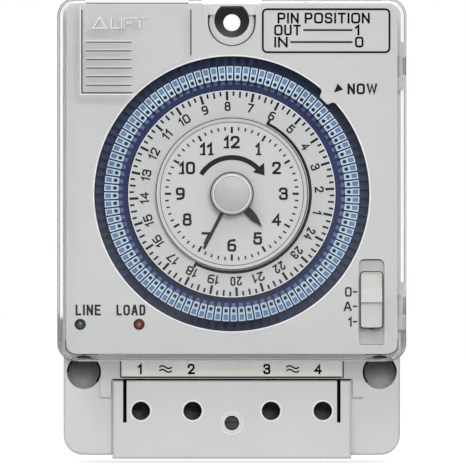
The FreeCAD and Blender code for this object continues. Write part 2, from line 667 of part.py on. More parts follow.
def make_movement():
    dial = "dial_height"
    left = "-centre_distance"
    right = "centre_distance"
    low = "dial_height - motor_distance"
    cylinder_piece("minute_arbor", "0", dial, "minute_arbor_radius", "20", "51")
    fine = "fine_module"
    coarse = "coarse_module"
    wheel = "gear_width"
    pinion = "pinion_width"
    make_gear("drive_gear", 42, fine, -90, "0", dial, "drive_depth", wheel, "minute_arbor_radius")
    make_gear("cannon_pinion", 12, coarse, 180, "0", dial, "cannon_depth", pinion, "minute_arbor_radius")
    cylinder_piece("motor_arbor", "0", low, "arbor_radius", "17", "24.6")
    make_gear("motor_pinion", 12, fine, 105, "0", low, "motor_pinion_depth", pinion, "arbor_radius")
    cylinder_piece("intermediate_arbor", left, dial, "arbor_radius", "20", "34.2")
    make_gear("intermediate_gear", 36, coarse, 5, left, dial, "intermediate_depth", wheel, "arbor_radius")
    make_gear("intermediate_pinion", 12, fine, 0, left, dial, "second_depth", pinion, "arbor_radius")
    pipe_bore = "minute_arbor_radius + running_gap"
    cylinder_piece("hour_pipe", "0", dial, "pipe_radius", "27", "49.3", [("0", dial, pipe_bore)])
    make_gear("hour_wheel", 48, fine, 183.75, "0", dial, "hour_depth", wheel, "pipe_radius")
    make_gear("hour_pinion", 24, coarse, 0, "0", dial, "reduction_depth", wheel, "pipe_radius")
    cylinder_piece("reduction_arbor", right, dial, "arbor_radius", "20", "37.2")
    make_gear("reduction_gear", 24, coarse, 187.5, right, dial, "reduction_depth", wheel, "arbor_radius")
    make_gear("reduction_pinion", 16, coarse, 180, right, dial, "dial_pinion_depth", "1.8", "arbor_radius")
    make_gear("dial_gear", 32, coarse, 5.625, "0", dial, "dial_gear_depth", wheel, "hub_radius")
    tube_bore = "pipe_radius + running_gap"
    cylinder_piece("centre_tube", "0", dial, "tube_radius", "33", "face_front", [("0", dial, tube_bore)])

    for name, depth in (("back", "back_plate_depth"), ("front", "front_plate_depth")):
        plate = new_body(f"movement_{name}_plate")
        outline = box("-26", "26", "dial_height - 23.5", "dial_height + 23.5")
        add_pad(plate, "sheet", [outline], depth, f"{depth} + plate_thickness")
        bores = [circle(side, dial, "arbor_radius + running_gap") for side in (left, right)]
        if name == "back":
            bores.append(circle("0", dial, "minute_arbor_radius + running_gap"))
            bores.append(circle("0", low, "2.0"))
        else:
            bores.append(circle("0", dial, "tube_radius"))
        add_pocket(plate, "bores", bores, f"{depth} + plate_thickness", f"{depth} - 1")
    pillars = []
    for side in (-1, 1):
        for rise in (-1, 1):
            across = side * number_of("post_side")
            up = number_of("dial_height") + rise * number_of("post_rise")
            start = -number_of("back_plate_depth + plate_thickness")
            length = number_of("front_plate_depth - back_plate_depth - plate_thickness")
            pillars.append(Part.makeCylinder(1.8, length, V(across, start, up), V(0, -1, 0)))
    shape_piece("movement_pillars", Part.makeCompound(pillars))
    motor = new_body("motor")
    add_pad(motor, "can", [circle("0", low, "9.5")], "9.8", "19.2")
    add_pad(motor, "collar", [circle("0", low, "1.9")], "19", "21.0")
    bore = circle("0", low, "arbor_radius + running_gap")
    add_pocket(motor, "bore", [bore], "21", "16.8")
    add_pad(motor, "flange", [box("-12.5", "12.5", f"{low} - 2.5", f"{low} + 2.5")], "19.2", "20")
    add_pocket(motor, "flange_bore", [bore], "20.5", "19")


# ---------------------------------------------------------------- dial

def make_dial():
    carrier = new_body("dial_carrier")
    hub_bore = "tube_radius + running_gap"
    add_pad(carrier, "disc", [circle("0", "0", "carrier_radius"), circle("0", "0", hub_bore)],
            "carrier_back", "carrier_front")
    hub = [circle("0", "0", "hub_radius"), circle("0", "0", hub_bore)]
    add_pad(carrier, "hub", hub, "34.8", "carrier_back + 0.5")
    add_pad(carrier, "wall", [circle("0", "0", "22.4"), circle("0", "0", "21.2")],
            "carrier_front - 0.5", "scale_front - 1.2")
    place_on_dial(carrier)
    slots = []
    inner = number_of("pin_inner") - 0.6
    length = number_of("carrier_radius") + 1 - inner
    width = number_of("pin_foot_width") + 0.2
    depth = number_of("carrier_front - carrier_back")
    for index in range(int(number_of("pin_count"))):
        slot = Part.makeBox(length, depth - 0.6, width, V(inner, -number_of("carrier_front"), -width / 2))
        slots.append(slot.rotated(V(0, 0, 0), ACROSS, -pin_angle(index)))
    tool = shape_piece("pin_slots", Part.makeCompound(slots))
    place_on_dial(tool)
    slotted = doc.addObject("Part::Cut", "slotted_carrier")
    slotted.Base = carrier
    slotted.Tool = tool
    carrier.Label = "plain_carrier"
    slotted.Label = "dial_carrier"

    disc = new_body("scale_disc")
    add_pad(disc, "disc", [circle("0", "0", "scale_radius"), circle("0", "0", "4.2")],
            "scale_front - 1.2", "scale_front")
    place_on_dial(disc)

    total = int(number_of("pin_count"))
    loose = int(number_of("loose_pins"))
    first = total // 2 - total // 4 - loose // 2
    fixed = []
    for index in range(total):
        if first <= index < first + loose:
            single = make_pin_body(f"time_pin_{index - first + 1}")
            angle = pin_angle(index)
            single.Placement = FreeCAD.Placement(V(0, 0, 0), FreeCAD.Rotation(ACROSS, -angle))
            place_on_dial(single)
            print(single.Label, "points at", round(angle, 3))
        else:
            fixed.append(index)
    pattern = make_pin_body("pin_pattern")
    doc.recompute()
    copies = []
    for index in fixed:
        copies.append(pattern.Shape.rotated(V(0, 0, 0), ACROSS, -pin_angle(index)))
    place_on_dial(shape_piece("time_pins", Part.makeCompound(copies)))


def pin_angle(index):
    """Direction of a time-set pin, counter-clockwise from +X as seen from the front."""
    pitch = 360 / number_of("pin_count")
    return (number_of("eight_angle") + pitch / 2 + pitch * index) % 360


def make_pin_body(name):
    """A time-set pin that points along +X: a tapered block on a foot."""
    pin = new_body(name)
    corners = (("pin_inner", "-pin_inner_width / 2"), ("pin_outer", "-pin_outer_width / 2"),
               ("pin_outer", "pin_outer_width / 2"), ("pin_inner", "pin_inner_width / 2"))
    add_pad(pin, "block", [polygon(*corners)], "carrier_front + 0.05", "pin_front")
    foot = box("pin_inner + 0.1", "pin_outer - 0.3", "-pin_foot_width / 2", "pin_foot_width / 2")
    add_pad(pin, "foot", [foot], "carrier_back + 0.8", "carrier_front + 0.5")
    return pin


def make_clock():
    face = new_body("clock_face")
    hole = circle("0", "0", "tube_radius")
    add_pad(face, "disc", [circle("0", "0", "face_radius"), hole], "face_back", "face_front")
    ring = [circle("0", "0", "face_radius"), circle("0", "0", "face_radius - 0.5")]
    add_pad(face, "rim", ring, "face_back + 0.2", "face_front + 0.25")
    place_on_dial(face)

    hour = new_body("hour_hand")
    leaf = (("-0.55", "0"), ("-0.95", "5.8"), ("-0.85", "7.3"), ("0", "hour_tip"),
            ("0.85", "7.3"), ("0.95", "5.8"), ("0.55", "0"))
    add_pad(hour, "leaf", [polygon(*leaf)], "48.8", "49.15")
    add_pad(hour, "hub", [circle("0", "0", "2.9")], "48.8", "49.3")
    add_pocket(hour, "bore", [circle("0", "0", "pipe_radius")], "50", "48")
    minute = new_body("minute_hand")
    neck = "minute_tip - 0.4"
    bar = (("-0.5", "0"), ("-0.3", neck), ("0", "minute_tip"), ("0.3", neck), ("0.5", "0"))
    add_pad(minute, "bar", [polygon(*bar)], "49.75", "50.05")
    add_pad(minute, "hub", [circle("0", "0", "2.2")], "49.7", "50.1")
    add_pocket(minute, "bore", [circle("0", "0", "minute_arbor_radius")], "51", "49")
    for hand, angle in ((hour, "hour_angle"), (minute, "minute_angle")):
        hand.Placement = FreeCAD.Placement(V(0, 0, 0), FreeCAD.Rotation(ACROSS, number_of(angle)))
        place_on_dial(hand)

    knob = new_body("setting_knob")
    add_pad(knob, "disc", [circle("0", "0", "knob_radius")], "50.4", "52.0")
    add_pocket(knob, "socket", [circle("0", "0", "minute_arbor_radius")], "51", "50")
    place_on_dial(knob)


# ---------------------------------------------------------------- switches, lamps and electronics

def make_mode_switch():
    body = new_body("slide_switch_body")
    left = "switch_side - 3.0"
    right = "switch_side + 3.0"
    add_pad(body, "block", [box(left, right, "-switch_low - 9.2", "-switch_low + 9.4")], "40", "45.95")
    groove = box("switch_side - 0.6", "switch_side + 0.6", "-switch_low - 6", "-switch_low + 6.5")
    add_pocket(body, "groove", [groove], "45.95", "42.5")
    knob = new_body("mode_slider")
    half = "(slot_width / 2 - 0.25)"
    middle = "(0.65 - switch_low)"
    low = f"{middle} - slider_length / 2"
    high = f"{middle} + slider_length / 2"
    plate = box(f"switch_side - {half}", f"switch_side + {half}", low, high)
    add_pad(knob, "plate", [plate], "46.05", "48.8")
    add_fillet(knob, "corners", "slider_corner", switch_test)
    add_fillet(knob, "front_edge", "0.35", front_edge_test(48.8))
    ridge = box(f"switch_side - {half}", f"switch_side + {half}", f"{middle} - 0.5", f"{middle} + 2.4")
    add_pad(knob, "ridge", [ridge], "48.5", "50.8")
    stem = box("switch_side - 0.45", "switch_side + 0.45", f"{middle} - 1.8", f"{middle} + 1.8")
    add_pad(knob, "stem", [stem], "43", "46.5")


def make_lamps_and_board():
    for name in ("power", "output"):
        side = f"-{name}_side"
        lamp = new_body(f"{name}_lamp")
        add_pad(lamp, "lens", [circle(side, "-lamp_low", "lamp_radius")], "43.2", "47.7")
    leads = []
    board = number_of("board_front")
    for name in ("power", "output"):
        for offset in (-0.6, 0.6):
            across = offset - number_of(f"{name}_side")
            foot = V(across, -board, -number_of("lamp_low"))
            leads.append(Part.makeCylinder(0.25, 43.2 - board, foot, V(0, -1, 0)))
    for height in (-20.0, -16.3, -12.6):
        foot = V(number_of("switch_side"), -board, height)
        leads.append(Part.makeCylinder(0.35, 40 - board, foot, V(0, -1, 0)))
    shape_piece("board_leads", Part.makeCompound(leads))
    sheet_body = new_body("circuit_board")
    add_pad(sheet_body, "sheet", [box("-34.2", "34.2", "-25.2", "-8.6")], "board_back", "board_front")
    holes = [circle(f"{side} * post_side", "dial_height - post_rise", "2.8") for side in ("-1", "1")]
    add_pocket(sheet_body, "post_holes", holes, "board_front + 0.4", "board_back - 1")
    box_piece("relay", "2.5", "18", "-24.1", "-16.0", "board_front", "22")
    cylinder_piece("capacitor", "-11.5", "-19.8", "4.2", "board_front", "19.5")
    cylinder_piece("backup_battery", "-27", "-19.6", "4.6", "board_front", "13")


def make_follower():
    """The lever that the outward pins lift, its pivot, and the switch that it works."""
    lever = new_body("follower_lever")
    tail = ("lever_side", "lever_height")
    corners = ((f"{tail[0]} - 0.6", f"{tail[1]} - 1.1"), (f"{tail[0]} + 0.9", f"{tail[1]} + 1.1"),
               ("22.6", "31.0"), ("20.9", "30.4"), ("20.9", "29.2"))
    add_pad(lever, "bar", [polygon(*corners)], "lever_back", "lever_front")
    add_pad(lever, "boss", [circle(*tail, "1.9")], "lever_back", "lever_front")
    bore = circle(*tail, "0.9 + running_gap")
    add_pocket(lever, "bore", [bore], "lever_front + 0.5", "lever_back - 1")
    pivot = new_body("lever_pivot")
    add_pad(pivot, "pin", [circle(*tail, "0.9")], "41", "rim_depth")
    add_pad(pivot, "head", [circle(*tail, "1.6")], "41", "41.8")
    switch = new_body("microswitch")
    add_pad(switch, "block", [box("16.5", "30.5", "37", "43.4")], "40.2", "rim_depth")
    bore = circle("plunger_side", "-plunger_depth", "0.6 + running_gap")
    add_pocket(switch, "plunger_bore", [bore], "39.6", "36", "XY_Plane")
    plunger = new_body("switch_plunger")
    stem = circle("plunger_side", "-plunger_depth", "0.6")
    add_pad(plunger, "stem", [stem], "plunger_low", "38.2", "XY_Plane")
    make_spring("lever_spring", 28.6, -number_of("plunger_depth"), 28.35, 36.95, 1.0, 0.22, 7)


def make_spring(name, across, forward, low, high, radius, wire, turns):
    """An upright coil spring between two heights."""
    height = high - low - 2 * wire
    helix = Part.makeHelix(height / turns, height, radius)
    start = Part.Wire([Part.Circle(V(radius, 0, 0), V(0, 1, 0), wire).toShape()])
    coil = Part.Wire(helix.Edges).makePipeShell([start], True, True)
    piece = shape_piece(name, coil)
    piece.Placement = FreeCAD.Placement(V(across, forward, low + wire), FreeCAD.Rotation())


def make_hinge_pins():
    pins = []
    for middle in (number_of("hinge_high"), -number_of("hinge_low")):
        base = V(number_of("hinge_side"), -number_of("hinge_depth"), middle - 5.3)
        pins.append(Part.makeCylinder(number_of("hinge_pin_radius"), 10.6, base, V(0, 0, 1)))
    shape_piece("hinge_pins", Part.makeCompound(pins))


make_rear_case()
make_face_plate()
make_clear_cover()
make_open_latch()
make_terminal_cover()
make_label_strip()
make_terminal_block()
make_terminal_screws()
make_clamp_plates()
make_busbars()
make_terminal_cover_screw()
make_movement()
make_dial()
make_clock()
make_mode_switch()
make_lamps_and_board()
make_follower()
make_hinge_pins()
doc.recompute()

HELPERS = ("pin_slots", "plain_carrier", "pin_pattern")
for item in doc.Objects:
    failed = [word for word in item.State if word in ("Invalid", "Error")]
    if failed:
        raise RuntimeError(f"{item.Name} did not compute: {item.State}")
pieces = []
for item in doc.Objects:
    is_piece = item.TypeId in ("PartDesign::Body", "Part::Feature", "Part::Cut")
    if is_piece and item.Label not in HELPERS:
        pieces.append(item)
os.makedirs("parts", exist_ok=True)
for piece in pieces:
    shape = piece.Shape
    if shape.isNull() or not shape.isValid():
        raise RuntimeError(f"{piece.Label} has no valid shape")
    shape.exportStep(f"parts/{piece.Label}.step")
    print(piece.Label, len(shape.Solids), round(shape.Volume, 1))
print(len(pieces), "pieces")
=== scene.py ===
"""Looks of a surface-mounted 24-hour time switch with a pin dial, built round its CAD frame.

Lengths in the functions below are in millimetres and are turned into metres when a mesh is made.
A place is given as x (right), z (up) and depth, the distance in front of the wall (-Y).
"""

import math

import bmesh
import bpy
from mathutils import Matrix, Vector


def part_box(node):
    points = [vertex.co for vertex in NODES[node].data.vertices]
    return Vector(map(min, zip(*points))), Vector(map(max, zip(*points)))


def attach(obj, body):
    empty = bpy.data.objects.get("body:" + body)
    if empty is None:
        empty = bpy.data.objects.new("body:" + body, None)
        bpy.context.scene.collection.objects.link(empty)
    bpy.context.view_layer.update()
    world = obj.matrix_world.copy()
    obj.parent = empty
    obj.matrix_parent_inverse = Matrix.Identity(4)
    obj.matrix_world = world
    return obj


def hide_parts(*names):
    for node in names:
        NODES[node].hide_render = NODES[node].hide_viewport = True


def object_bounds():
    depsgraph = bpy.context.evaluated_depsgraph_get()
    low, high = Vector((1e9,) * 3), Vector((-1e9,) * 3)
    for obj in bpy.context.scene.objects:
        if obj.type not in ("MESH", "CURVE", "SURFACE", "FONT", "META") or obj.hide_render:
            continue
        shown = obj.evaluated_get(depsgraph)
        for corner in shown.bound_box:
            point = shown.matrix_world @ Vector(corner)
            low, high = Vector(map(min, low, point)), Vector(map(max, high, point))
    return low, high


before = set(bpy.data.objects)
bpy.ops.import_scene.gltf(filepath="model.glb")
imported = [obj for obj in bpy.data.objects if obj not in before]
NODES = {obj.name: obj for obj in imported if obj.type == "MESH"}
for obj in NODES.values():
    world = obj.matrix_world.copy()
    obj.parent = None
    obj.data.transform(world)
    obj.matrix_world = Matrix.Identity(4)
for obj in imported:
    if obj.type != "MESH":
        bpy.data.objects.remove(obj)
cad_box = [list(corner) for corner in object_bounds()]

MM = 0.001


# ---------------------------------------------------------------- places read from the frame

def front_of(node):
    return -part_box(node)[0].y / MM


def back_of(node):
    return -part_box(node)[1].y / MM


def middle_of(node):
    low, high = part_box(node)
    return (low.x + high.x) / 2 / MM, (low.z + high.z) / 2 / MM


def half_width_of(node):
    low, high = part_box(node)
    return (high.x - low.x) / 2 / MM


DIAL_X, DIAL_Z = middle_of("scale_disc")
DIAL_RADIUS = half_width_of("scale_disc")
FACE_RADIUS = half_width_of("clock_face")
PLATE_FRONT = front_of("face_plate")
DIAL_FRONT = front_of("scale_disc")
CLOCK_FRONT = front_of("clock_face") - 0.25
LABEL_FRONT = front_of("label_strip")
TAB_FRONT = front_of("clear_cover")

# Sizes of the CAD pieces that their boxes do not give.
CARRIER_FRONT = 41.0
PIN_INNER = 25.1
PIN_OUTER = 28.2
OPENING_RADIUS = 30.4
LUG_ANGLE = 45.4
TAB_ARC = 31.5
RECESS_X, RECESS_Z = 32.8, -31.7
RECESS_RADIUS = 3.8
RECESS_FLOOR = 27.0
RECESS_ROUND = 2.4
DECK = 36.0
RIM_BOTTOM = -27.6

# The dial's divisions; angles run counter-clockwise from the right.
PIN_COUNT = 96
PIN_STEP = 360 / PIN_COUNT
HOUR_STEP = 360 / 24
EIGHT_ANGLE = 92.8
PRINT_THICKNESS = 0.03


# ---------------------------------------------------------------- materials

def linear(red, green, blue):
    """Scene-linear colour from display values between 0 and 255."""
    def one(value):
        value = value / 255
        return value / 12.92 if value <= 0.04045 else ((value + 0.055) / 1.055) ** 2.4
    return (one(red), one(green), one(blue), 1.0)


def new_material(name):
    material = bpy.data.materials.new(name)
    material.use_nodes = True
    nodes = material.node_tree.nodes
    nodes.clear()
    output = nodes.new("ShaderNodeOutputMaterial")
    return material, nodes, material.node_tree.links, output


def add_noise(nodes, links, scale, detail=2.0):
    place = nodes.new("ShaderNodeTexCoord")
    noise = nodes.new("ShaderNodeTexNoise")
    noise.inputs["Scale"].default_value = scale
    noise.inputs["Detail"].default_value = detail
    links.new(place.outputs["Object"], noise.inputs["Vector"])
    return noise


def add_range(nodes, links, source, low, high):
    spread = nodes.new("ShaderNodeMapRange")
    spread.inputs["From Min"].default_value = 0.3
    spread.inputs["From Max"].default_value = 0.7
    spread.inputs["To Min"].default_value = low
    spread.inputs["To Max"].default_value = high
    links.new(source, spread.inputs["Value"])
    return spread.outputs["Result"]


def moulded(name, colour, rough=0.42, grain=0.25, mottle=0.03, grain_scale=2600, coat=0.0, shine=0.5):
    """Moulded plastic: slight mottling, uneven gloss and a fine grain."""
    material, nodes, links, output = new_material(name)
    shader = nodes.new("ShaderNodeBsdfPrincipled")
    shader.inputs["IOR"].default_value = 1.5
    shader.inputs["Specular IOR Level"].default_value = shine
    shader.inputs["Coat Weight"].default_value = coat
    links.new(shader.outputs["BSDF"], output.inputs["Surface"])
    cloud = add_noise(nodes, links, 90, 3.0)
    mix = nodes.new("ShaderNodeMix")
    mix.data_type = "RGBA"
    mix.inputs["A"].default_value = [channel * (1 - mottle) for channel in colour[:3]] + [1]
    mix.inputs["B"].default_value = [min(1, channel * (1 + mottle)) for channel in colour[:3]] + [1]
    links.new(add_range(nodes, links, cloud.outputs["Fac"], 0, 1), mix.inputs["Factor"])
    links.new(mix.outputs["Result"], shader.inputs["Base Color"])
    gloss = add_range(nodes, links, cloud.outputs["Fac"], rough - 0.05, rough + 0.05)
    links.new(gloss, shader.inputs["Roughness"])
    fine = add_noise(nodes, links, grain_scale, 2.0)
    bump = nodes.new("ShaderNodeBump")
    bump.inputs["Strength"].default_value = grain
    bump.inputs["Distance"].default_value = 0.00003
    links.new(fine.outputs["Fac"], bump.inputs["Height"])
    links.new(bump.outputs["Normal"], shader.inputs["Normal"])
    return material


def metal(name, colour, rough=0.3, streak=(1, 1, 1)):
    """Plain metal with fine streaks in its gloss."""
    material, nodes, links, output = new_material(name)
    shader = nodes.new("ShaderNodeBsdfPrincipled")
    shader.inputs["Metallic"].default_value = 1.0
    shader.inputs["Base Color"].default_value = colour
    links.new(shader.outputs["BSDF"], output.inputs["Surface"])
    place = nodes.new("ShaderNodeTexCoord")
    stretch = nodes.new("ShaderNodeMapping")
    stretch.inputs["Scale"].default_value = streak
    links.new(place.outputs["Object"], stretch.inputs["Vector"])
    noise = nodes.new("ShaderNodeTexNoise")
    noise.inputs["Scale"].default_value = 1500
    links.new(stretch.outputs["Vector"], noise.inputs["Vector"])
    gloss = add_range(nodes, links, noise.outputs["Fac"], rough - 0.08, rough + 0.1)
    links.new(gloss, shader.inputs["Roughness"])
    bump = nodes.new("ShaderNodeBump")
    bump.inputs["Strength"].default_value = 0.15
    bump.inputs["Distance"].default_value = 0.00002
    links.new(noise.outputs["Fac"], bump.inputs["Height"])
    links.new(bump.outputs["Normal"], shader.inputs["Normal"])
    return material


def clear_plastic(name, tint):
    """Polished clear polycarbonate: it bends and mirrors what is seen, and lets the light through."""
    material, nodes, links, output = new_material(name)
    glass = nodes.new("ShaderNodeBsdfPrincipled")
    glass.inputs["Base Color"].default_value = tint
    glass.inputs["Transmission Weight"].default_value = 1.0
    glass.inputs["IOR"].default_value = 1.45
    wear = add_noise(nodes, links, 60, 4.0)
    links.new(add_range(nodes, links, wear.outputs["Fac"], 0.0, 0.035), glass.inputs["Roughness"])
    through = nodes.new("ShaderNodeBsdfTransparent")
    through.inputs["Color"].default_value = tint
    path = nodes.new("ShaderNodeLightPath")
    indirect = nodes.new("ShaderNodeMath")
    indirect.operation = "MAXIMUM"
    links.new(path.outputs["Is Shadow Ray"], indirect.inputs[0])
    links.new(path.outputs["Is Diffuse Ray"], indirect.inputs[1])
    mix = nodes.new("ShaderNodeMixShader")
    links.new(indirect.outputs["Value"], mix.inputs["Fac"])
    links.new(glass.outputs["BSDF"], mix.inputs[1])
    links.new(through.outputs["BSDF"], mix.inputs[2])
    links.new(mix.outputs["Shader"], output.inputs["Surface"])
    return material


def shaded(name, dark, light):
    """A moulded surface with painted shade: dark at its top, paling to its foot."""
    material = moulded(name, light, rough=0.5, shine=0.2)
    nodes, links = material.node_tree.nodes, material.node_tree.links
    place = nodes.new("ShaderNodeTexCoord")
    split = nodes.new("ShaderNodeSeparateXYZ")
    links.new(place.outputs["Generated"], split.inputs["Vector"])
    blend = nodes.new("ShaderNodeMix")
    blend.data_type = "RGBA"
    blend.inputs["A"].default_value = light
    blend.inputs["B"].default_value = dark
    links.new(split.outputs["Z"], blend.inputs["Factor"])
    links.new(blend.outputs["Result"], nodes["Principled BSDF"].inputs["Base Color"])
    return material


def lens(name, colour):
    """Tinted lamp lens: deep colour under a gloss."""
    return moulded(name, colour, rough=0.12, grain=0.05, mottle=0.15, coat=1.0)


CASE_GREY = moulded("case_grey", linear(222, 222, 221), rough=0.45)
LID_GREY = moulded("lid_grey", linear(220, 220, 220), rough=0.42)
PLATE_GREY = moulded("plate_grey", linear(215, 215, 214), rough=0.55, grain=0.15)
# Near-white for painted highlights on lips, rims, ridges and edges.
HIGHLIGHT_WHITE = moulded("painted_highlight_white", linear(250, 250, 248), rough=0.35, grain=0.1)
LABEL_CREAM = moulded("label_cream", linear(250, 248, 241), rough=0.5)
DIAL_GREY = moulded("dial_grey", linear(206, 206, 206), rough=0.5, grain=0.15)
CLOCK_GREY = moulded("clock_grey", linear(212, 212, 212), rough=0.5, grain=0.2)
CARRIER_BLUE = moulded("carrier_blue", linear(54, 72, 112), rough=0.55, grain=0.15, shine=0.12)
# Dark blue of the inner ring, deepened with painted shade of its groove.
RING_BLUE_AND_SHADE = moulded("ring_blue_and_shade", linear(22, 46, 104), rough=0.5, grain=0.1, mottle=0.12, shine=0.15)
# Near-black for painted shade in the gaps between the pins and at the carrier's edge.
GAP_SHADE_BLACK = moulded("gap_shade_black", linear(6, 8, 16), rough=0.6, shine=0.1)
PIN_BLUE = moulded("pin_blue", linear(208, 228, 246), rough=0.25, grain=0.1, coat=0.3)
PIN_WINDOW = moulded("pin_window", linear(88, 134, 178), rough=0.2, grain=0.05)
PIN_BODY = moulded("pin_body", linear(150, 190, 218), rough=0.25, grain=0.05)
PIN_FOOT = moulded("pin_foot", linear(58, 92, 164), rough=0.3, grain=0.05)
# Near-black disc of painted shade standing for each pin's hole.
PIN_HOLE_SHADE = moulded("pin_hole_shade", linear(4, 6, 12), rough=0.6, shine=0.1)
KNOB_GREY = moulded("knob_grey", linear(176, 176, 175), rough=0.3, grain=0.1)
SLIDER_GREY = moulded("slider_grey", linear(214, 214, 210), rough=0.35)
SWITCH_GREY = moulded("switch_grey", linear(192, 192, 194), rough=0.4)
HAND_BLACK = moulded("hand_black", linear(14, 12, 12), rough=0.5, grain=0.05, shine=0.15)
# Black for the print; also for dark lines of painted shade in gaps, slits and recesses, round the slider and
# round the lamps.
PRINT_AND_SHADE_BLACK = moulded("print_and_shade_black", linear(2, 2, 3), rough=0.7, grain=0.05, shine=0.1)
# Dark grey for painted shade: round the knob's edge, along the tab's edges, at the foot of the cover's rim and
# at the clock face's rim.
PAINTED_SHADE_DARK = moulded("painted_shade_dark", linear(52, 52, 54), rough=0.6, grain=0.05, shine=0.2)
SHADE_GREY = moulded("shade_grey", linear(104, 105, 108), rough=0.5, grain=0.05, shine=0.2)
# Pale lit copy of the tab's lettering, and painted highlights on its ribs.
TAB_LIT_MARK = moulded("tab_lit_mark", linear(232, 232, 230), rough=0.4, grain=0.05)
# Pale lilac painted light, where the clear lower wall seen edge-on looks lit.
LIT_EDGE_LILAC = moulded("painted_lit_edge_lilac", linear(214, 214, 232), rough=0.3, grain=0.05)
BLACK_MOULDING = moulded("black_moulding", linear(36, 36, 38), rough=0.4)
ACETAL = moulded("acetal", linear(226, 224, 214), rough=0.4)
BOARD_GREEN = moulded("board_green", linear(38, 92, 58), rough=0.4)
LENS_GREEN = lens("lens_green", linear(60, 84, 74))
LENS_RED = lens("lens_red", linear(150, 44, 46))
SCREW_STEEL = metal("screw_steel", linear(150, 150, 152), rough=0.32)
DARK_STEEL = metal("dark_steel", linear(62, 60, 60), rough=0.35)
BRASS = metal("brass_metal", linear(196, 168, 104), rough=0.3)
CAN_METAL = metal("can_metal", linear(190, 190, 192), rough=0.35, streak=(1, 8, 1))
CLEAR = clear_plastic("clear_polycarbonate", (0.985, 0.99, 0.99, 1))

# Painted shade for the floors of the lower fixing recesses, dark under their upper rims.
RECESS_SHADE = shaded("recess_shade", linear(30, 30, 32), linear(232, 232, 230))

NODE_MATERIALS = {
    "rear_case": CASE_GREY,
    "terminal_cover": LID_GREY,
    "terminal_block": BLACK_MOULDING,
    "face_plate": PLATE_GREY,
    "label_strip": LABEL_CREAM,
    "clear_cover": CLEAR,
    "open_latch": CLEAR,
    "dial_carrier": CARRIER_BLUE,
    "scale_disc": DIAL_GREY,
    "clock_face": CLOCK_GREY,
    "hour_hand": HAND_BLACK,
    "minute_hand": HAND_BLACK,
    "mode_slider": SLIDER_GREY,
    "slide_switch_body": SWITCH_GREY,
    "microswitch": BLACK_MOULDING,
    "relay": BLACK_MOULDING,
    "motor": CAN_METAL,
    "capacitor": CAN_METAL,
    "backup_battery": CAN_METAL,
    "circuit_board": BOARD_GREEN,
    "terminal_screws": DARK_STEEL,
    "terminal_cover_screw": DARK_STEEL,
    "hinge_pins": CASE_GREY,
    "clamp_plates": BRASS,
    "busbars": DARK_STEEL,
    "movement_back_plate": BRASS,
    "movement_front_plate": BRASS,
    "cannon_pinion": BRASS,
    "motor_pinion": BRASS,
    "centre_tube": BRASS,
}
ACETAL_NODES = ("drive_gear", "intermediate_gear", "intermediate_pinion", "hour_wheel", "hour_pinion",
                "hour_pipe", "reduction_gear", "reduction_pinion", "dial_gear", "follower_lever",
                "switch_plunger")


def dress_cad_nodes():
    """Gives every CAD node its material."""
    for name, node in NODES.items():
        material = NODE_MATERIALS.get(name, ACETAL if name in ACETAL_NODES else SCREW_STEEL)
        node.data.materials.clear()
        node.data.materials.append(material)


# ---------------------------------------------------------------- mesh building

def at(x, z, depth):
    """The scene's place, in metres, of a point given in millimetres."""
    return Vector((x * MM, -depth * MM, z * MM))


def to_object(name, mesh, body, *materials, smooth=False):
    """Links a mesh as a piece that rides on a body."""
    piece = bpy.data.objects.new(name, mesh)
    bpy.context.scene.collection.objects.link(piece)
    for material in materials:
        mesh.materials.append(material)
    if smooth:
        for face in mesh.polygons:
            face.use_smooth = True
    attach(piece, body)
    return piece


ROUND_BOX = ((0, 0), (1, 0), (1, 1), (0, 1))


def scaled(corners, wide, low=0.0, high=1.0):
    return [(x * wide, low + y * (high - low)) for x, y in corners]


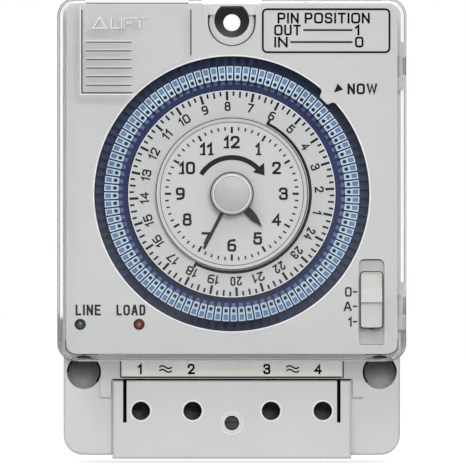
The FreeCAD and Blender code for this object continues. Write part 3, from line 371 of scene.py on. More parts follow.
# A glyph: its width, then strokes as (corner rounding, closed, corners); its height is 1.
GLYPHS = {
    "A": (0.56, [(0, False, [(0, 0), (0.24, 1), (0.32, 1), (0.56, 0)]),
                 (0, False, [(0.12, 0.3), (0.44, 0.3)])]),
    "D": (0.5, [(0, False, [(0, 0), (0, 1)]), (0.3, False, [(0, 1), (0.5, 1), (0.5, 0), (0, 0)])]),
    "E": (0.46, [(0, False, [(0.46, 1), (0, 1), (0, 0), (0.46, 0)]), (0, False, [(0, 0.52), (0.38, 0.52)])]),
    "F": (0.44, [(0, False, [(0.44, 1), (0, 1), (0, 0)]), (0, False, [(0, 0.5), (0.36, 0.5)])]),
    "I": (0.02, [(0, False, [(0.01, 0), (0.01, 1)])]),
    "L": (0.42, [(0, False, [(0, 1), (0, 0), (0.42, 0)])]),
    "N": (0.5, [(0, False, [(0, 0), (0, 1)]), (0, False, [(0.5, 0), (0.5, 1)]),
                (0, False, [(0.02, 0.95), (0.48, 0.05)])]),
    "O": (0.58, [(0.24, True, scaled(ROUND_BOX, 0.58))]),
    "P": (0.48, [(0, False, [(0, 0), (0, 1)]), (0.2, False, [(0, 1), (0.48, 1), (0.48, 0.44), (0, 0.44)])]),
    "S": (0.48, [(0.2, False, [(0.47, 0.8), (0.44, 1), (0.02, 1), (0.0, 0.55), (0.48, 0.48), (0.47, 0),
                               (0.03, 0), (0.0, 0.2)])]),
    "T": (0.5, [(0, False, [(0, 1), (0.5, 1)]), (0, False, [(0.25, 0), (0.25, 1)])]),
    "U": (0.5, [(0.22, False, [(0, 1), (0, 0), (0.5, 0), (0.5, 1)])]),
    "W": (0.8, [(0, False, [(0, 1), (0.2, 0.04), (0.4, 0.95), (0.6, 0.04), (0.8, 1)])]),
    "0": (0.46, [(0.24, True, scaled(ROUND_BOX, 0.46))]),
    "1": (0.16, [(0, False, [(0, 0.76), (0.16, 1), (0.16, 0)])]),
    "2": (0.46, [(0.2, False, [(0, 0.74), (0.03, 1), (0.44, 1), (0.46, 0.6), (0.03, 0.02)]),
                 (0, False, [(0.02, 0), (0.46, 0)])]),
    "3": (0.46, [(0.2, False, [(0, 0.8), (0.03, 1), (0.44, 1), (0.44, 0.54), (0.16, 0.54)]),
                 (0.2, False, [(0.16, 0.54), (0.46, 0.54), (0.46, 0), (0.03, 0), (0, 0.22)])]),
    "4": (0.5, [(0, False, [(0.38, 0), (0.38, 0.96), (0, 0.28), (0.5, 0.28)])]),
    "5": (0.46, [(0, False, [(0.42, 1), (0.06, 1), (0.03, 0.52)]),
                 (0.2, False, [(0.03, 0.56), (0.46, 0.64), (0.46, 0), (0.03, 0), (0, 0.22)])]),
    "6": (0.46, [(0.3, False, [(0.4, 1), (0, 0.94), (0, 0.26)]),
                 (0.2, True, scaled(ROUND_BOX, 0.46, 0, 0.55))]),
    "7": (0.46, [(0, False, [(0, 1), (0.46, 1), (0.14, 0)])]),
    "8": (0.46, [(0.18, True, [(0.03, 0.53), (0.43, 0.53), (0.43, 1), (0.03, 1)]),
                 (0.2, True, scaled(ROUND_BOX, 0.46, 0, 0.53))]),
    "9": (0.46, [(0.3, False, [(0.06, 0), (0.46, 0.06), (0.46, 0.74)]),
                 (0.2, True, scaled(ROUND_BOX, 0.46, 0.45, 1))]),
}


def unit(x, z):
    """A direction of length one."""
    length = math.hypot(x, z) or 1
    return x / length, z / length


def soften(points, radius, closed, steps=6):
    """Replaces each corner of a path by a short curve."""
    if not radius:
        return points
    count = len(points)
    path = []
    for index, (x, z) in enumerate(points):
        if not closed and index in (0, count - 1):
            path.append((x, z))
            continue
        before = points[index - 1]
        after = points[(index + 1) % count]
        starts = []
        for end in (before, after):
            reach = min(radius, math.dist((x, z), end) * 0.48)
            toward = unit(end[0] - x, end[1] - z)
            starts.append((x + toward[0] * reach, z + toward[1] * reach))
        for step in range(steps + 1):
            t = step / steps
            weights = ((1 - t) ** 2, 2 * t * (1 - t), t ** 2)
            corners = (starts[0], (x, z), starts[1])
            path.append(tuple(sum(w * corner[axis] for w, corner in zip(weights, corners)) for axis in (0, 1)))
    return path


def stretch_ends(path, extra):
    """Lengthens an open path at both ends, so that its strokes end square."""
    first = unit(path[0][0] - path[1][0], path[0][1] - path[1][1])
    last = unit(path[-1][0] - path[-2][0], path[-1][1] - path[-2][1])
    start = (path[0][0] + first[0] * extra, path[0][1] + first[1] * extra)
    end = (path[-1][0] + last[0] * extra, path[-1][1] + last[1] * extra)
    return [start] + path[1:-1] + [end]


class Builder:
    """Collects closed solids in one mesh."""

    def __init__(self):
        self.mesh = bmesh.new()

    def prism(self, outline, back, front, slot=0):
        """A solid between two depths from an outline of (x, z) points, counter-clockwise from the front."""
        near = [self.mesh.verts.new(at(x, z, front)) for x, z in outline]
        far = [self.mesh.verts.new(at(x, z, back)) for x, z in outline]
        faces = [self.mesh.faces.new(near), self.mesh.faces.new(list(reversed(far)))]
        count = len(outline)
        for index in range(count):
            after = (index + 1) % count
            faces.append(self.mesh.faces.new((near[after], near[index], far[index], far[after])))
        for face in faces:
            face.material_index = slot
        return near, far

    def ring_sector(self, radius_in, radius_out, start, end, back, front, slot=0, centre=None, step=2.0):
        """A curved bar between two radii and two angles in degrees."""
        x0, z0 = centre or (DIAL_X, DIAL_Z)
        full = abs(end - start) >= 359.99
        count = max(2, int(abs(end - start) / step))
        rows = []
        for index in range(count if full else count + 1):
            angle = math.radians(start + (end - start) * index / count)
            c, s = math.cos(angle), math.sin(angle)
            corners = ((radius_in, front), (radius_out, front), (radius_out, back), (radius_in, back))
            rows.append([self.mesh.verts.new(at(x0 + r * c, z0 + r * s, depth)) for r, depth in corners])
        total = len(rows) if full else len(rows) - 1
        for index in range(total):
            row, after = rows[index], rows[(index + 1) % len(rows)]
            for corner in range(4):
                pair = (corner + 1) % 4
                face = self.mesh.faces.new((row[corner], row[pair], after[pair], after[corner]))
                face.material_index = slot
        if not full:
            self.mesh.faces.new(list(reversed(rows[0]))).material_index = slot
            self.mesh.faces.new(rows[-1]).material_index = slot

    def lathe(self, profile, centre, slot=0, steps=64):
        """Turns (radius, depth) points about an axis along the depth; ends with radius 0 close it."""
        x0, z0 = centre
        rings = []
        for radius, depth in profile:
            if radius == 0:
                rings.append([self.mesh.verts.new(at(x0, z0, depth))])
                continue
            ring = []
            for index in range(steps):
                angle = 2 * math.pi * index / steps
                place = at(x0 + radius * math.cos(angle), z0 + radius * math.sin(angle), depth)
                ring.append(self.mesh.verts.new(place))
            rings.append(ring)
        for inner, outer in zip(rings, rings[1:]):
            for index in range(steps):
                after = (index + 1) % steps
                if len(inner) == 1:
                    corners = (inner[0], outer[index], outer[after])
                elif len(outer) == 1:
                    corners = (inner[index], outer[0], inner[after])
                else:
                    corners = (inner[index], outer[index], outer[after], inner[after])
                self.mesh.faces.new(corners).material_index = slot

    def ribbon(self, points, width, back, front, slot=0, closed=False):
        """A flat strip of even width along (x, z) points, with mitred corners."""
        count = len(points)
        near_left, near_right, far_left, far_right = [], [], [], []
        for index, (x, z) in enumerate(points):
            before = points[index - 1] if closed or index else None
            after = points[(index + 1) % count] if closed or index < count - 1 else None
            incoming = unit(x - before[0], z - before[1]) if before else None
            outgoing = unit(after[0] - x, after[1] - z) if after else incoming
            incoming = incoming or outgoing
            across = unit(-incoming[1] - outgoing[1], incoming[0] + outgoing[0])
            lean = max(0.45, across[0] * -outgoing[1] + across[1] * outgoing[0])
            reach = width / 2 / lean
            for side, near, far in ((reach, near_left, far_left), (-reach, near_right, far_right)):
                place = (x + across[0] * side, z + across[1] * side)
                near.append(self.mesh.verts.new(at(*place, front)))
                far.append(self.mesh.verts.new(at(*place, back)))
        for index in range(count if closed else count - 1):
            after = (index + 1) % count
            loops = ((near_left, near_right), (near_right, far_right),
                     (far_right, far_left), (far_left, near_left))
            for first, second in loops:
                corners = (first[index], second[index], second[after], first[after])
                self.mesh.faces.new(corners).material_index = slot
        if not closed:
            for end in (0, -1):
                corners = (near_left[end], far_left[end], far_right[end], near_right[end])
                self.mesh.faces.new(corners).material_index = slot

    def letters(self, text, height, width, centre, depth, weight, turn=0.0, slot=0, thickness=PRINT_THICKNESS):
        """Raised lettering drawn in strokes, centred on (x, z) and turned in its plane."""
        gap = weight * 1.75
        space = weight * 2.2
        spaces = text.count(" ")
        drawn = sum(GLYPHS[letter][0] for letter in text if letter != " ")
        room = width - weight - gap * (len(text) - 1 - spaces) - space * spaces
        stretch = room / drawn if drawn else 1
        tall = height - weight
        pen = (weight - width) / 2
        c, s = math.cos(math.radians(turn)), math.sin(math.radians(turn))
        for letter in text:
            if letter == " ":
                pen += space
                continue
            wide, strokes = GLYPHS[letter]
            for rounding, closed, corners in strokes:
                path = [(pen + x * stretch, (y - 0.5) * tall) for x, y in corners]
                path = soften(path, rounding * tall, closed)
                if not closed:
                    path = stretch_ends(path, weight / 2)
                turned = [(centre[0] + x * c - y * s, centre[1] + x * s + y * c) for x, y in path]
                self.ribbon(turned, weight, depth, depth + thickness, slot, closed)
            pen += wide * stretch + gap

    def finish(self, name, body, *materials, smooth=False, bevel=0.0, segments=2):
        bmesh.ops.recalc_face_normals(self.mesh, faces=self.mesh.faces[:])
        mesh = bpy.data.meshes.new(name)
        self.mesh.to_mesh(mesh)
        self.mesh.free()
        piece = to_object(name, mesh, body, *materials, smooth=smooth)
        if bevel:
            rounding = piece.modifiers.new("rounding", "BEVEL")
            rounding.width = bevel * MM
            rounding.segments = segments
            rounding.limit_method = "ANGLE"
            rounding.angle_limit = math.radians(35)
        return piece


def radial_point(radius, angle):
    """The (x, z) of a point given about the dial's axis."""
    return DIAL_X + radius * math.cos(math.radians(angle)), DIAL_Z + radius * math.sin(math.radians(angle))


def radial_bar(builder, radius_in, radius_out, angle, width, back, front, slot=0):
    """A straight tick that points at the dial's axis."""
    c, s = math.cos(math.radians(angle)), math.sin(math.radians(angle))
    outline = []
    for radius, side in ((radius_in, 1), (radius_in, -1), (radius_out, -1), (radius_out, 1)):
        across = DIAL_X + radius * c - side * width / 2 * s
        up = DIAL_Z + radius * s + side * width / 2 * c
        outline.append((across, up))
    builder.prism(outline, back, front, slot)


def flat_box(builder, left, right, low, high, back, front, slot=0):
    builder.prism([(left, low), (right, low), (right, high), (left, high)], back, front, slot)


def round_corner_outline(left, right, low, high, radius, steps=8):
    """A rectangle with round corners, counter-clockwise."""
    outline = []
    corners = ((right - radius, low + radius, -90), (right - radius, high - radius, 0),
               (left + radius, high - radius, 90), (left + radius, low + radius, 180))
    for x, z, start in corners:
        for step in range(steps + 1):
            angle = math.radians(start + 90 * step / steps)
            outline.append((x + radius * math.cos(angle), z + radius * math.sin(angle)))
    return outline


# ---------------------------------------------------------------- dial

def add_time_pin(builder, angle):
    """One time-set pin: a frame with a sunk window in its outer half and a round hole in its inner half, the
    hole drawn as a near-black disc of painted shade.
    """
    back = CARRIER_FRONT + 0.05
    front = front_of("time_pins")
    inner, outer = PIN_INNER, PIN_OUTER
    split = inner + 1.5
    floor = front - 0.5
    edge = 0.21
    c, s = math.cos(math.radians(angle)), math.sin(math.radians(angle))

    def half(radius):
        return 0.64 + (radius - inner) / (outer - inner) * 0.11

    def block(r0, r1, side0, side1, low, high, slot):
        corners = ((r0, side1(r0)), (r0, side0(r0)), (r1, side0(r1)), (r1, side1(r1)))
        outline = [(DIAL_X + radius * c - side * s, DIAL_Z + radius * s + side * c) for radius, side in corners]
        builder.prism(outline, low, high, slot)

    def whole(sign, inset=0.0):
        return lambda radius: sign * (half(radius) - inset)

    block(inner, outer, whole(-1), whole(1), back, floor - 0.2, 3)
    block(split + 0.1, outer - edge, whole(-1, edge), whole(1, edge), floor - 0.2, floor, 1)
    block(inner + 0.15, split - 0.1, whole(-1, edge), whole(1, edge), floor - 0.2, front - 0.2, 3)
    block(outer - edge, outer, whole(-1), whole(1), floor - 0.2, front, 0)
    block(split - 0.1, split + 0.1, whole(-1, edge), whole(1, edge), floor - 0.2, front, 0)
    block(inner, inner + 0.15, whole(-1, edge), whole(1, edge), floor - 0.2, front - 0.05, 0)
    block(inner, outer - edge, whole(-1), whole(-1, edge), floor - 0.2, front, 0)
    block(inner, outer - edge, whole(1, edge), whole(1), floor - 0.2, front, 0)
    middle = inner + 0.78
    hole = (DIAL_X + middle * c, DIAL_Z + middle * s)
    # The hole: a near-black disc of painted shade, sunk a little into the pin.
    builder.lathe([(0, front - 0.24), (0.4, front - 0.24), (0.4, front - 0.17), (0, front - 0.17)], hole, 2, 12)
    block(inner - 0.9, inner + 0.1, lambda radius: -0.42, lambda radius: 0.42, back, back + 0.3, 4)


def make_time_pins():
    """The 96 pins, six of them pieces of their own; a near-black ring of painted shade under them, a thin dark
    ring of painted shade at the carrier's edge, and a darker blue inner ring, its blue deepened with painted
    shade of its groove.
    """
    materials = (PIN_BLUE, PIN_WINDOW, PIN_HOLE_SHADE, PIN_BODY, PIN_FOOT)
    singles = sorted(name for name in NODES if name.startswith("time_pin_"))
    first = PIN_COUNT // 4 - len(singles) // 2
    ring = Builder()
    for index in range(PIN_COUNT):
        angle = EIGHT_ANGLE + PIN_STEP * (index + 0.5)
        number = index - first + 1
        if 1 <= number <= len(singles):
            single = Builder()
            add_time_pin(single, angle)
            piece = single.finish(f"set_pin_{number}", f"pin_{number}", *materials)
            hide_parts(f"time_pin_{number}")
        else:
            add_time_pin(ring, angle)
    piece = ring.finish("set_pin_ring", "dial", *materials)
    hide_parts("time_pins")
    # Dark rings of painted shade: under the pins, where the gaps between them fall dark, and a thin one at the
    # carrier's edge inside the plate's opening.
    gap_shading = Builder()
    gap_shading.ring_sector(PIN_INNER - 0.05, PIN_OUTER + 0.12, 0, 360, CARRIER_FRONT - 0.01, CARRIER_FRONT + 0.02)
    gap_shading.ring_sector(30.25, 30.45, 0, 360, CARRIER_FRONT - 0.01, CARRIER_FRONT + 0.04)
    piece = gap_shading.finish("pin_gap_shade", "dial", GAP_SHADE_BLACK)
    # The inner ring: the carrier's dark blue, deepened as painted shade of the groove there.
    ring = Builder()
    ring.ring_sector(DIAL_RADIUS + 0.05, PIN_INNER - 0.06, 0, 360, CARRIER_FRONT - 0.01, CARRIER_FRONT + 0.1)
    piece = ring.finish("inner_ring_groove_shade", "dial", RING_BLUE_AND_SHADE)


def make_dial_print():
    """Numerals 1 to 24, four ticks to the hour, and the night arc."""
    marks = Builder()
    back, front = DIAL_FRONT, DIAL_FRONT + PRINT_THICKNESS
    tick_end, numeral_radius = 22.65, 19.35
    ticks_of_an_hour = ((20.7, 0.54), (21.65, 0.42), (21.3, 0.42), (21.65, 0.42))
    for quarter in range(PIN_COUNT):
        tick_start, width = ticks_of_an_hour[quarter % 4]
        radial_bar(marks, tick_start, tick_end, EIGHT_ANGLE + PIN_STEP * quarter, width, back, front)
    for hour in range(1, 25):
        angle = EIGHT_ANGLE + HOUR_STEP * (hour - 8)
        width = 1.35 if hour < 10 else 2.55
        if hour in (1, 11):
            width *= 0.6 if hour == 1 else 0.75
        marks.letters(str(hour), 2.05, width, radial_point(numeral_radius, angle), DIAL_FRONT, 0.37, angle - 90)
    six = EIGHT_ANGLE + HOUR_STEP * (6 - 8)
    night_inner, night_outer, night_foot = 17.05, 17.7, 18.3
    marks.ring_sector(night_inner, night_outer, six - 180, six, back, front)
    for end in (six, six - 180):
        radial_bar(marks, night_inner, night_foot, end, 0.6, back, front)
    piece = marks.finish("dial_print", "dial", PRINT_AND_SHADE_BLACK)
    # A white ring of painted highlight along the dial's edge.
    painted_shading = Builder()
    painted_shading.ring_sector(DIAL_RADIUS - 0.12, DIAL_RADIUS - 0.02, 0, 360, back, front)
    piece = painted_shading.finish("dial_edge_highlight", "dial", HIGHLIGHT_WHITE)


def make_clock_print():
    """Minute ticks, numerals 1 to 12, the setting arrow, a grey line inside the rim, and a dark ring of painted
    shade at the rim.
    """
    marks = Builder()
    back, front = CLOCK_FRONT, CLOCK_FRONT + PRINT_THICKNESS
    tick_end, numeral_radius = 14.8, 11.4
    for minute in range(60):
        tick_start, width = (14.0, 0.34) if minute % 5 else (13.4, 0.5)
        radial_bar(marks, tick_start, tick_end, 90 - 6 * minute, width, back, front)
    for hour in range(1, 13):
        x, z = radial_point(numeral_radius, 90 - 30 * hour)
        width = 3.5 if hour > 9 else 2.0
        if hour == 11:
            width = 2.7
        if hour == 1:
            width = 1.0
        marks.letters(str(hour), 2.8, width, (x, z), CLOCK_FRONT, 0.54)
        if hour in (1, 10, 11, 12):
            for foot in foots_of(hour, x, width):
                flat_box(marks, foot - 0.62, foot + 0.62, z - 1.375, z - 1.0, back, front)
    marks.ring_sector(7.45, 8.55, 148, 42, back, front)
    marks.prism([radial_point(6.6, 46), radial_point(8.3, 29), radial_point(9.9, 44)], back, front)
    piece = marks.finish("clock_print", "case", PRINT_AND_SHADE_BLACK)
    line = Builder()
    line.ring_sector(FACE_RADIUS - 1.1, FACE_RADIUS - 0.92, 0, 360, back, back + 0.05)
    piece = line.finish("clock_inner_line", "case", SHADE_GREY)
    # A dark ring of painted shade at the clock face's rim, where its edge meets the gap round it.
    rim = Builder()
    rim.ring_sector(FACE_RADIUS - 0.22, FACE_RADIUS - 0.02, 0, 360, CLOCK_FRONT + 0.2, CLOCK_FRONT + 0.27)
    piece = rim.finish("clock_rim_shade", "case", PAINTED_SHADE_DARK)


def foots_of(hour, x, width):
    """Where the ones of a clock numeral stand, for their slab feet."""
    left = x - width / 2 + 0.28 + 0.25
    right = x + width / 2 - 0.28
    return {1: (x + 0.22,), 10: (left,), 11: (left + 0.1, right), 12: (left,)}[hour]


def make_knob():
    """The setting knob, with a dark ring of painted shade for its groove, a pale ring of painted highlight
    beside it, and a dark band of painted shade round its edge.
    """
    centre = middle_of("setting_knob")
    back, front = back_of("setting_knob"), front_of("setting_knob")
    radius = half_width_of("setting_knob")
    knob = Builder()
    cap, rounding = radius - 0.24, 0.3
    profile = [(0, back), (cap - 0.25, back), (cap, back + 0.25), (cap, front - rounding)]
    for step in range(1, 7):
        angle = math.radians(90 * step / 6)
        profile.append((cap - rounding + rounding * math.cos(angle),
                        front - rounding + rounding * math.sin(angle)))
    profile.append((0, front))
    knob.lathe(profile, centre, steps=96)
    piece = knob.finish("knob_cap", "minute", KNOB_GREY, smooth=True)
    piece.data.set_sharp_from_angle(angle=math.radians(40))
    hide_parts("setting_knob")
    # A dark ring of painted shade for the groove and a pale ring of painted highlight just outside it.
    rings = (("knob_groove_shade", SHADE_GREY, 3.84, 3.94), ("knob_ring_highlight", HIGHLIGHT_WHITE, 3.98, 4.16))
    for name, material, inner, outer in rings:
        ring = Builder()
        ring.ring_sector(inner, outer, 0, 360, front - 0.05, front + 0.03, centre=centre)
        piece = ring.finish(name, "minute", material)
    # A dark band of painted shade round the knob's edge.
    knob_rim_shade = Builder()
    knob_rim_shade.ring_sector(cap - 0.1, radius, 0, 360, back + 0.05, front - 0.5, centre=centre)
    piece = knob_rim_shade.finish("knob_edge_shade", "minute", PAINTED_SHADE_DARK)


# ---------------------------------------------------------------- front panel

def make_panel_print():
    """The framed table, the index mark and the words beside the lamps and the slide switch."""
    marks = Builder()
    depth = PLATE_FRONT
    front = depth + PRINT_THICKNESS
    height, small_height = 2.4, 2.15
    left, right, low, high = 6.85, 34.85, 39.05, 48.55
    frame_line = [(left + x * (right - left), low + z * (high - low)) for x, z in ROUND_BOX]
    marks.ribbon(soften(frame_line, 1.1, True), 0.44, depth, front, closed=True)
    weight = 0.44
    marks.letters("PIN POSITION", height, 20.4, (20.3, 46.6), depth, weight)
    start, answer = 9.35, 27.2
    for text, z, width, word, wide in (("OUT", 43.95, 5.9, "1", 1.0), ("IN", 41.3, 3.0, "0", 1.9)):
        marks.letters(text, height, width, (start + width / 2, z), depth, weight)
        flat_box(marks, start + width + 0.55, answer - 0.55, z - 0.2, z + 0.2, depth, front)
        marks.letters(word, height, wide, (answer + wide / 2, z), depth, weight)
    marks.letters("NOW", height, 6.6, (28.85, 30.95), depth, 0.48)
    marks.prism([(22.55, 30.1), (24.6, 30.8), (23.4, 32.2)], depth, front)
    above_lamps = middle_of("power_lamp")[1] + 3.15
    marks.letters("LINE", height, 5.6, (-31.75, above_lamps), depth, 0.45)
    marks.letters("LOAD", height, 6.4, (-22.3, above_lamps), depth, 0.45)
    word_end, dash_end = 26.5, 27.95
    for text, z, width in (("0", -13.9, 1.5), ("A", -17.1, 1.8), ("1", -20.5, 0.8)):
        marks.letters(text, small_height, width, (word_end - width / 2, z), depth, 0.38)
        flat_box(marks, word_end + 0.25, dash_end, z - 0.18, z + 0.18, depth, front)
    piece = marks.finish("panel_print", "case", PRINT_AND_SHADE_BLACK)


def make_plate_lips():
    """A raised lip round the dial opening, whitened as a painted highlight; dark rings of painted shade round
    the lamps; and a raised lip round the slide switch's slot.
    """
    depth = PLATE_FRONT
    # The raised lip round the opening, whitened as a painted highlight.
    lip = Builder()
    start, end = LUG_ANGLE + 5.2, LUG_ANGLE - 5.2 + 360
    lip.ring_sector(OPENING_RADIUS + 0.02, OPENING_RADIUS + 0.34, start, end, depth - 0.2, depth + 0.12,
                    step=1.5)
    piece = lip.finish("opening_lip_highlight", "case", HIGHLIGHT_WHITE, bevel=0.05)
    # Dark rings of painted shade in the gaps round the lamps.
    rings = Builder()
    for name in ("power_lamp", "output_lamp"):
        rings.ring_sector(0.92, 1.24, 0, 360, depth - 0.1, depth + 0.05, centre=middle_of(name), step=15)
    piece = rings.finish("lamp_gap_shade", "case", PRINT_AND_SHADE_BLACK)
    slot_lip = Builder()
    slot_edge = round_corner_outline(27.8, 34.0, -26.1, -6.5, 1.3)
    slot_lip.ribbon(slot_edge, 0.24, depth - 0.1, depth + 0.08, closed=True)
    piece = slot_lip.finish("slot_lip", "case", LID_GREY)


def make_slider_seams():
    """A dark line of painted shade round the slider's front, where the gap about it falls dark."""
    low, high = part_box("mode_slider")
    left, right, bottom, top = low.x / MM, high.x / MM, low.z / MM, high.z / MM
    depth = front_of("mode_slider")
    slider_shade = Builder()
    slider_shade.ribbon(round_corner_outline(left + 0.12, right - 0.12, bottom + 0.13, top - 0.13, 0.8), 0.22,
                 depth - 0.3, depth + 0.02, closed=True)
    piece = slider_shade.finish("slider_edge_shade", "slider", PRINT_AND_SHADE_BLACK)


def make_label_print():
    """Terminal numbers, with a wave for alternating current between each pair; dark lines of painted shade
    along the strip's foot, in the groove and gap round it and in the terminal cover's two slits; and a pale
    ridge below, whitened as a painted highlight.
    """
    marks = Builder()
    z = middle_of("label_strip")[1] + 0.05
    for text, x, width in (("1", -20.4, 0.9), ("2", -9.0, 1.6), ("3", 7.75, 1.6), ("4", 19.1, 1.7)):
        marks.letters(text, 2.3, width, (x, z), LABEL_FRONT, 0.44)
    for middle in (-14.7, 13.5):
        for lift in (-0.4, 0.42):
            wave = []
            for step in range(17):
                t = step / 16
                wave.append((middle - 1.4 + 2.8 * t, z + lift + 0.3 * math.sin(2 * math.pi * t)))
            marks.ribbon(wave, 0.32, LABEL_FRONT, LABEL_FRONT + PRINT_THICKNESS)
    # A dark line of painted shade along the strip's foot, drawn with the print.
    low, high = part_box("label_strip")
    flat_box(marks, low.x / MM, high.x / MM, low.z / MM, low.z / MM + 0.2,
             LABEL_FRONT, LABEL_FRONT + PRINT_THICKNESS)
    piece = marks.finish("label_print_and_shade", "case", PRINT_AND_SHADE_BLACK)
    # Dark lines of painted shade: the groove round the strip, the gap above the terminal cover and the cover's
    # two slits.
    painted_shading = Builder()
    left, right = low.x / MM - 0.35, high.x / MM + 0.35
    bottom = low.z / MM
    deck = back_of("label_strip")
    painted_shading.ribbon([(left, high.z / MM), (left, bottom - 0.15), (right, bottom - 0.15), (right, high.z / MM)],
                0.24, deck - 0.2, deck + 0.04)
    cover_low, cover_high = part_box("terminal_cover")
    cover_top = cover_high.z / MM
    flat_box(painted_shading, cover_low.x / MM, cover_high.x / MM, cover_top, cover_top + 0.34, deck - 0.1, deck + 0.05)
    for side in (-23.7, 23.7):
        flat_box(painted_shading, side - 0.5, side + 0.5, -45.0, bottom - 0.4, deck + 0.01, deck + 0.14)
    piece = painted_shading.finish("label_gap_shade", "case", PRINT_AND_SHADE_BLACK)
    # A pale ridge below the strip, whitened as a painted highlight.
    ridge = Builder()
    flat_box(ridge, left - 0.1, right + 0.1, bottom - 0.3, bottom - 0.14, deck - 0.3, deck + 0.1)
    piece = ridge.finish("strip_ridge_highlight", "case", HIGHLIGHT_WHITE)


def make_hole_rims():
    """Embossed rings round the driver holes of the terminal cover, whitened as painted highlights."""
    depth = front_of("terminal_cover")
    rims = Builder()
    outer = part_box("terminal_screws")[1].x / MM - 1.95
    inner = 8.69
    screw_z = middle_of("terminal_screws")[1]
    for x in (-outer, -inner, inner, outer):
        rims.ring_sector(2.06, 2.42, 0, 360, depth - 0.1, depth + 0.1, centre=(x, screw_z), step=7.5)
    centre = middle_of("terminal_cover_screw")
    rims.ring_sector(1.66, 1.95, 0, 360, depth - 0.1, depth + 0.1, centre=centre, step=7.5)
    rims.ring_sector(2.35, 2.6, 0, 360, depth - 0.1, depth + 0.08, centre=centre, step=7.5)
    piece = rims.finish("hole_rim_highlights", "case", HIGHLIGHT_WHITE, bevel=0.06)


def make_recesses():
    """Painted shade in the two lower fixing recesses: black arcs along their upper and inner edges, and floors
    that darken towards the top.
    """
    rims, floors = Builder(), Builder()
    for side, start in ((-1, -40), (1, 0)):
        centre = (side * RECESS_X, RECESS_Z)
        # Black arcs of painted shade, where the rims shadow the recesses.
        rims.ring_sector(RECESS_RADIUS - 0.4, RECESS_RADIUS - 0.02, start, start + 220, DECK - 0.6, DECK - 0.05,
                         centre=centre, step=6)
        inside, outside = [(0, RECESS_FLOOR + 0.09)], [(0, RECESS_FLOOR + 0.03)]
        for step in range(9):
            angle = math.radians(90 * step / 8)
            for side_wall, lift in ((inside, 0.09), (outside, 0.03)):
                bend = RECESS_ROUND - lift
                flat = RECESS_RADIUS - RECESS_ROUND
                side_wall.append((flat + bend * math.sin(angle),
                                  RECESS_FLOOR + RECESS_ROUND - bend * math.cos(angle)))
        wall_top = [(inside[-1][0], DECK - 0.7), (outside[-1][0], DECK - 0.7)]
        floors.lathe(inside + wall_top + outside[::-1], centre)
    piece = rims.finish("recess_rim_shade", "case", PRINT_AND_SHADE_BLACK)
    # Liners on the recess floors carry the painted shade.
    piece = floors.finish("recess_floor_shade", "case", RECESS_SHADE, smooth=True)


def make_lamps():
    """Domed lenses over the two signal lamps."""
    lamps = (("power_lamp", LENS_GREEN, "lamp_green"), ("output_lamp", LENS_RED, "lamp_red"))
    for name, material, slot in lamps:
        centre = middle_of(name)
        back, front = back_of(name), front_of(name)
        radius = half_width_of(name)
        dome = Builder()
        profile = [(0, back), (radius, back), (radius, front - 0.9)]
        for step in range(1, 8):
            angle = math.radians(90 * step / 8)
            profile.append((radius * math.cos(angle), front - 0.9 + 0.9 * math.sin(angle)))
        profile.append((0, front))
        dome.lathe(profile, centre, steps=32)
        piece = dome.finish(f"{name}_lens", "case", material, smooth=True)
        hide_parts(name)


def make_tab_marks():
    """On the clear thumb tab: a raised word and arrow, drawn as a pale lit copy in front of a painted shadow
    copy set down and to the right; along the grip ribs' flanks, pale lines of painted highlight and dark lines
    of painted shade; and dark lines of painted shade along the tab's edges.
    """
    low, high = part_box("open_latch")
    left, right, bottom, top = low.x / MM, high.x / MM, low.z / MM, high.z / MM
    depth = TAB_FRONT
    light, shade, edge = Builder(), Builder(), Builder()
    # The word and arrow twice: a painted shadow copy set down and right, and a pale lit copy in front.
    for builder, shadow_offset, front in ((shade, 0.1, depth + 0.05), (light, 0.0, depth + 0.12)):
        builder.letters("LIFT", 2.5, 7.6, (-22.9 + shadow_offset, 45.4 - shadow_offset), depth, 0.3, thickness=front - depth)
        arrow = [(-30.6, 44.3), (-27.6, 44.3), (-29.1, 46.7)]
        builder.ribbon([(x + shadow_offset, z - shadow_offset) for x, z in arrow], 0.34, depth, front, closed=True)
    # Each rib: a dark line of painted shade below and a pale line of painted highlight above.
    for rib in range(6):
        z = bottom + 2.1 + 1.9 * rib
        flat_box(shade, left + 1.0, -22.1, z - 0.44, z - 0.16, depth, depth + 0.06)
        flat_box(light, left + 1.0, -22.1, z - 0.1, z + 0.08, depth + 0.2, depth + 0.34)
    corner = math.sqrt(TAB_ARC ** 2 - right ** 2)
    # Dark lines of painted shade along the tab's left, lower and right edges.
    edge.ribbon([(left + 0.13, top - 1.5), (left + 0.13, bottom + 0.13), (-22.0, bottom + 0.13)], 0.26,
                depth - 0.5, depth + 0.03)
    edge.ribbon([(right - 0.13, top - 1.5), (right - 0.13, DIAL_Z + corner + 0.3)], 0.26,
                depth - 0.5, depth + 0.03)
    for name, builder, material in (("tab_lettering_and_highlights", light, TAB_LIT_MARK), ("tab_shades", shade, SHADE_GREY),
                                    ("tab_edge_shade", edge, PAINTED_SHADE_DARK)):
        piece = builder.finish(name, "latch", material)


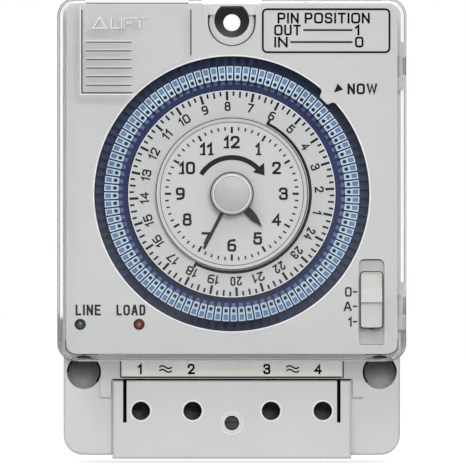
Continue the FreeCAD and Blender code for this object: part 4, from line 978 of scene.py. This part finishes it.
def make_cover_edges():
    """Painted light and shade at the clear cover's edges: dark lines of painted shade down its two sides, a
    white line of painted highlight beside the thumb tab, a pale lilac band of painted light along its lower
    wall, and dark painted shade at the foot of the rim behind it.
    """
    low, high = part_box("clear_cover")
    left, right, bottom = low.x / MM, high.x / MM, low.z / MM
    depth = TAB_FRONT
    side_shade = Builder()
    # Dark lines of painted shade down the cover's two side walls.
    for side in (left + 0.16, right - 0.16):
        flat_box(side_shade, side - 0.11, side + 0.11, bottom + 4.2, high.z / MM - 4.4, depth - 2.2, depth - 1.0)
    piece = side_shade.finish("cover_side_shade", "cover", SHADE_GREY)
    tab_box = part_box("open_latch")
    gap = 0.24
    tab_left, tab_low, tab_top = tab_box[0].x / MM - gap, tab_box[0].z / MM - gap, tab_box[1].z / MM
    # A white line of painted highlight beside the thumb tab's left and lower edges.
    frame_line = Builder()
    frame_line.ribbon([(tab_left, tab_top - 0.6), (tab_left, tab_low), (-21.9, tab_low)], 0.15,
                      depth - 0.3, depth + 0.03)
    piece = frame_line.finish("tab_frame_highlight", "cover", HIGHLIGHT_WHITE)
    # A pale lilac band of painted light along the clear lower wall.
    band = Builder()
    flat_box(band, left + 4.5, right - 4.5, bottom + 0.15, bottom + 0.75, depth - 5.0, depth - 3.6)
    piece = band.finish("cover_lower_edge_light", "cover", LIT_EDGE_LILAC)
    # Dark painted shade along the foot of the rim at its two lower corners.
    painted_shading = Builder()
    rim_low = RIM_BOTTOM - 0.12
    for sign in (-1, 1):
        path = [(sign * 36.72, rim_low + 3.4), (sign * 36.72, rim_low), (sign * 29.5, rim_low)]
        painted_shading.ribbon(soften(path, 3.3, False, 10), 0.16, PLATE_FRONT - 3.0, PLATE_FRONT - 1.7)
    piece = painted_shading.finish("rim_foot_shade", "case", PAINTED_SHADE_DARK)


# ---------------------------------------------------------------- stage, lights and camera

def make_stage():
    """A pale floor under the object, as white as the room behind it."""
    floor_z = cad_box[0][2] - 0.001
    half, camera_glow = 6.0, 0.78
    corners = [(-half, -half, floor_z), (half, -half, floor_z), (half, half, floor_z), (-half, half, floor_z)]
    mesh = bpy.data.meshes.new("floor")
    mesh.from_pydata(corners, [], [(0, 1, 2, 3)])
    paper = moulded("floor_paper", (0.92, 0.92, 0.92, 1), rough=0.95, grain=0.02, shine=0.0)
    nodes, links = paper.node_tree.nodes, paper.node_tree.links
    shader = nodes["Principled BSDF"]
    shader.inputs["Emission Color"].default_value = (1, 1, 1, 1)
    path = nodes.new("ShaderNodeLightPath")
    glow = nodes.new("ShaderNodeMath")
    glow.operation = "MULTIPLY"
    glow.inputs[1].default_value = camera_glow
    links.new(path.outputs["Is Camera Ray"], glow.inputs[0])
    links.new(glow.outputs["Value"], shader.inputs["Emission Strength"])
    mesh.materials.append(paper)
    floor = bpy.data.objects.new("floor", mesh)
    bpy.context.scene.collection.objects.link(floor)


def make_world():
    """White behind the object; soft grey light; for reflections, a pale floor below a dark room."""
    soft_light, floor_gloss, room_gloss = 0.26, 0.9, 0.03
    horizon_low, horizon_high = -0.011, 0.013
    world = bpy.data.worlds.new("studio")
    bpy.context.scene.world = world
    world.use_nodes = True
    nodes = world.node_tree.nodes
    links = world.node_tree.links
    nodes.clear()
    output = nodes.new("ShaderNodeOutputWorld")

    def background(colour, strength):
        node = nodes.new("ShaderNodeBackground")
        node.inputs["Color"].default_value = colour
        node.inputs["Strength"].default_value = strength
        return node

    soft = background((1, 1, 1, 1), soft_light)
    backdrop = background((1, 1, 1, 1), 1.0)
    mirrored = background((1, 1, 1, 1), 1.0)
    place = nodes.new("ShaderNodeTexCoord")
    split = nodes.new("ShaderNodeSeparateXYZ")
    links.new(place.outputs["Generated"], split.inputs["Vector"])
    rise = nodes.new("ShaderNodeMapRange")
    rise.inputs["From Min"].default_value = horizon_low
    rise.inputs["From Max"].default_value = horizon_high
    rise.inputs["To Min"].default_value = floor_gloss
    rise.inputs["To Max"].default_value = room_gloss
    links.new(split.outputs["Z"], rise.inputs["Value"])
    links.new(rise.outputs["Result"], mirrored.inputs["Strength"])
    path = nodes.new("ShaderNodeLightPath")
    behind = nodes.new("ShaderNodeMath")
    behind.operation = "GREATER_THAN"
    behind.inputs[1].default_value = 0.0
    links.new(split.outputs["Y"], behind.inputs[0])
    seen = nodes.new("ShaderNodeMath")
    seen.operation = "MAXIMUM"
    glossy = nodes.new("ShaderNodeMixShader")
    links.new(path.outputs["Is Glossy Ray"], glossy.inputs["Fac"])
    links.new(soft.outputs["Background"], glossy.inputs[1])
    links.new(mirrored.outputs["Background"], glossy.inputs[2])
    through = nodes.new("ShaderNodeMath")
    through.operation = "MULTIPLY"
    links.new(path.outputs["Is Transmission Ray"], through.inputs[0])
    links.new(behind.outputs["Value"], through.inputs[1])
    links.new(path.outputs["Is Camera Ray"], seen.inputs[0])
    links.new(through.outputs["Value"], seen.inputs[1])
    mix = nodes.new("ShaderNodeMixShader")
    links.new(seen.outputs["Value"], mix.inputs["Fac"])
    links.new(glossy.outputs["Shader"], mix.inputs[1])
    links.new(backdrop.outputs["Background"], mix.inputs[2])
    links.new(mix.outputs["Shader"], output.inputs["Surface"])


def add_light(name, place, size, power):
    """A square soft light that faces the object."""
    data = bpy.data.lights.new(name, "AREA")
    data.size = size
    data.energy = power
    lamp = bpy.data.objects.new(name, data)
    bpy.context.scene.collection.objects.link(lamp)
    lamp.location = place
    lamp.rotation_euler = (-Vector(place)).to_track_quat("-Z", "Y").to_euler()


def make_camera():
    """Straight from the front, from far enough away that the sides hardly show."""
    distance = 3.5
    frame_width = 0.1028
    object_front, aim_x, aim_z = 0.054, 0.00026, -0.001
    data = bpy.data.cameras.new("camera")
    data.sensor_fit = "HORIZONTAL"
    data.sensor_width = 36
    data.lens = 36 * distance / frame_width
    data.clip_end = 50
    camera = bpy.data.objects.new("camera", data)
    bpy.context.scene.collection.objects.link(camera)
    camera.location = (aim_x, -object_front - distance, aim_z)
    camera.rotation_euler = (math.radians(90), 0, 0)
    bpy.context.scene.camera = camera


dress_cad_nodes()
make_time_pins()
make_dial_print()
make_clock_print()
make_knob()
make_panel_print()
make_plate_lips()
make_hole_rims()
make_recesses()
make_label_print()
make_lamps()
make_tab_marks()
make_cover_edges()
make_slider_seams()
make_stage()
make_world()
add_light("key", place=(-0.35, -0.75, 0.85), size=0.4, power=2.6)
add_light("front", place=(0.1, -1.1, 0.26), size=0.3, power=4.6)
make_camera()
bpy.context.scene.view_settings.view_transform = "Standard"

bpy.context.view_layer.update()
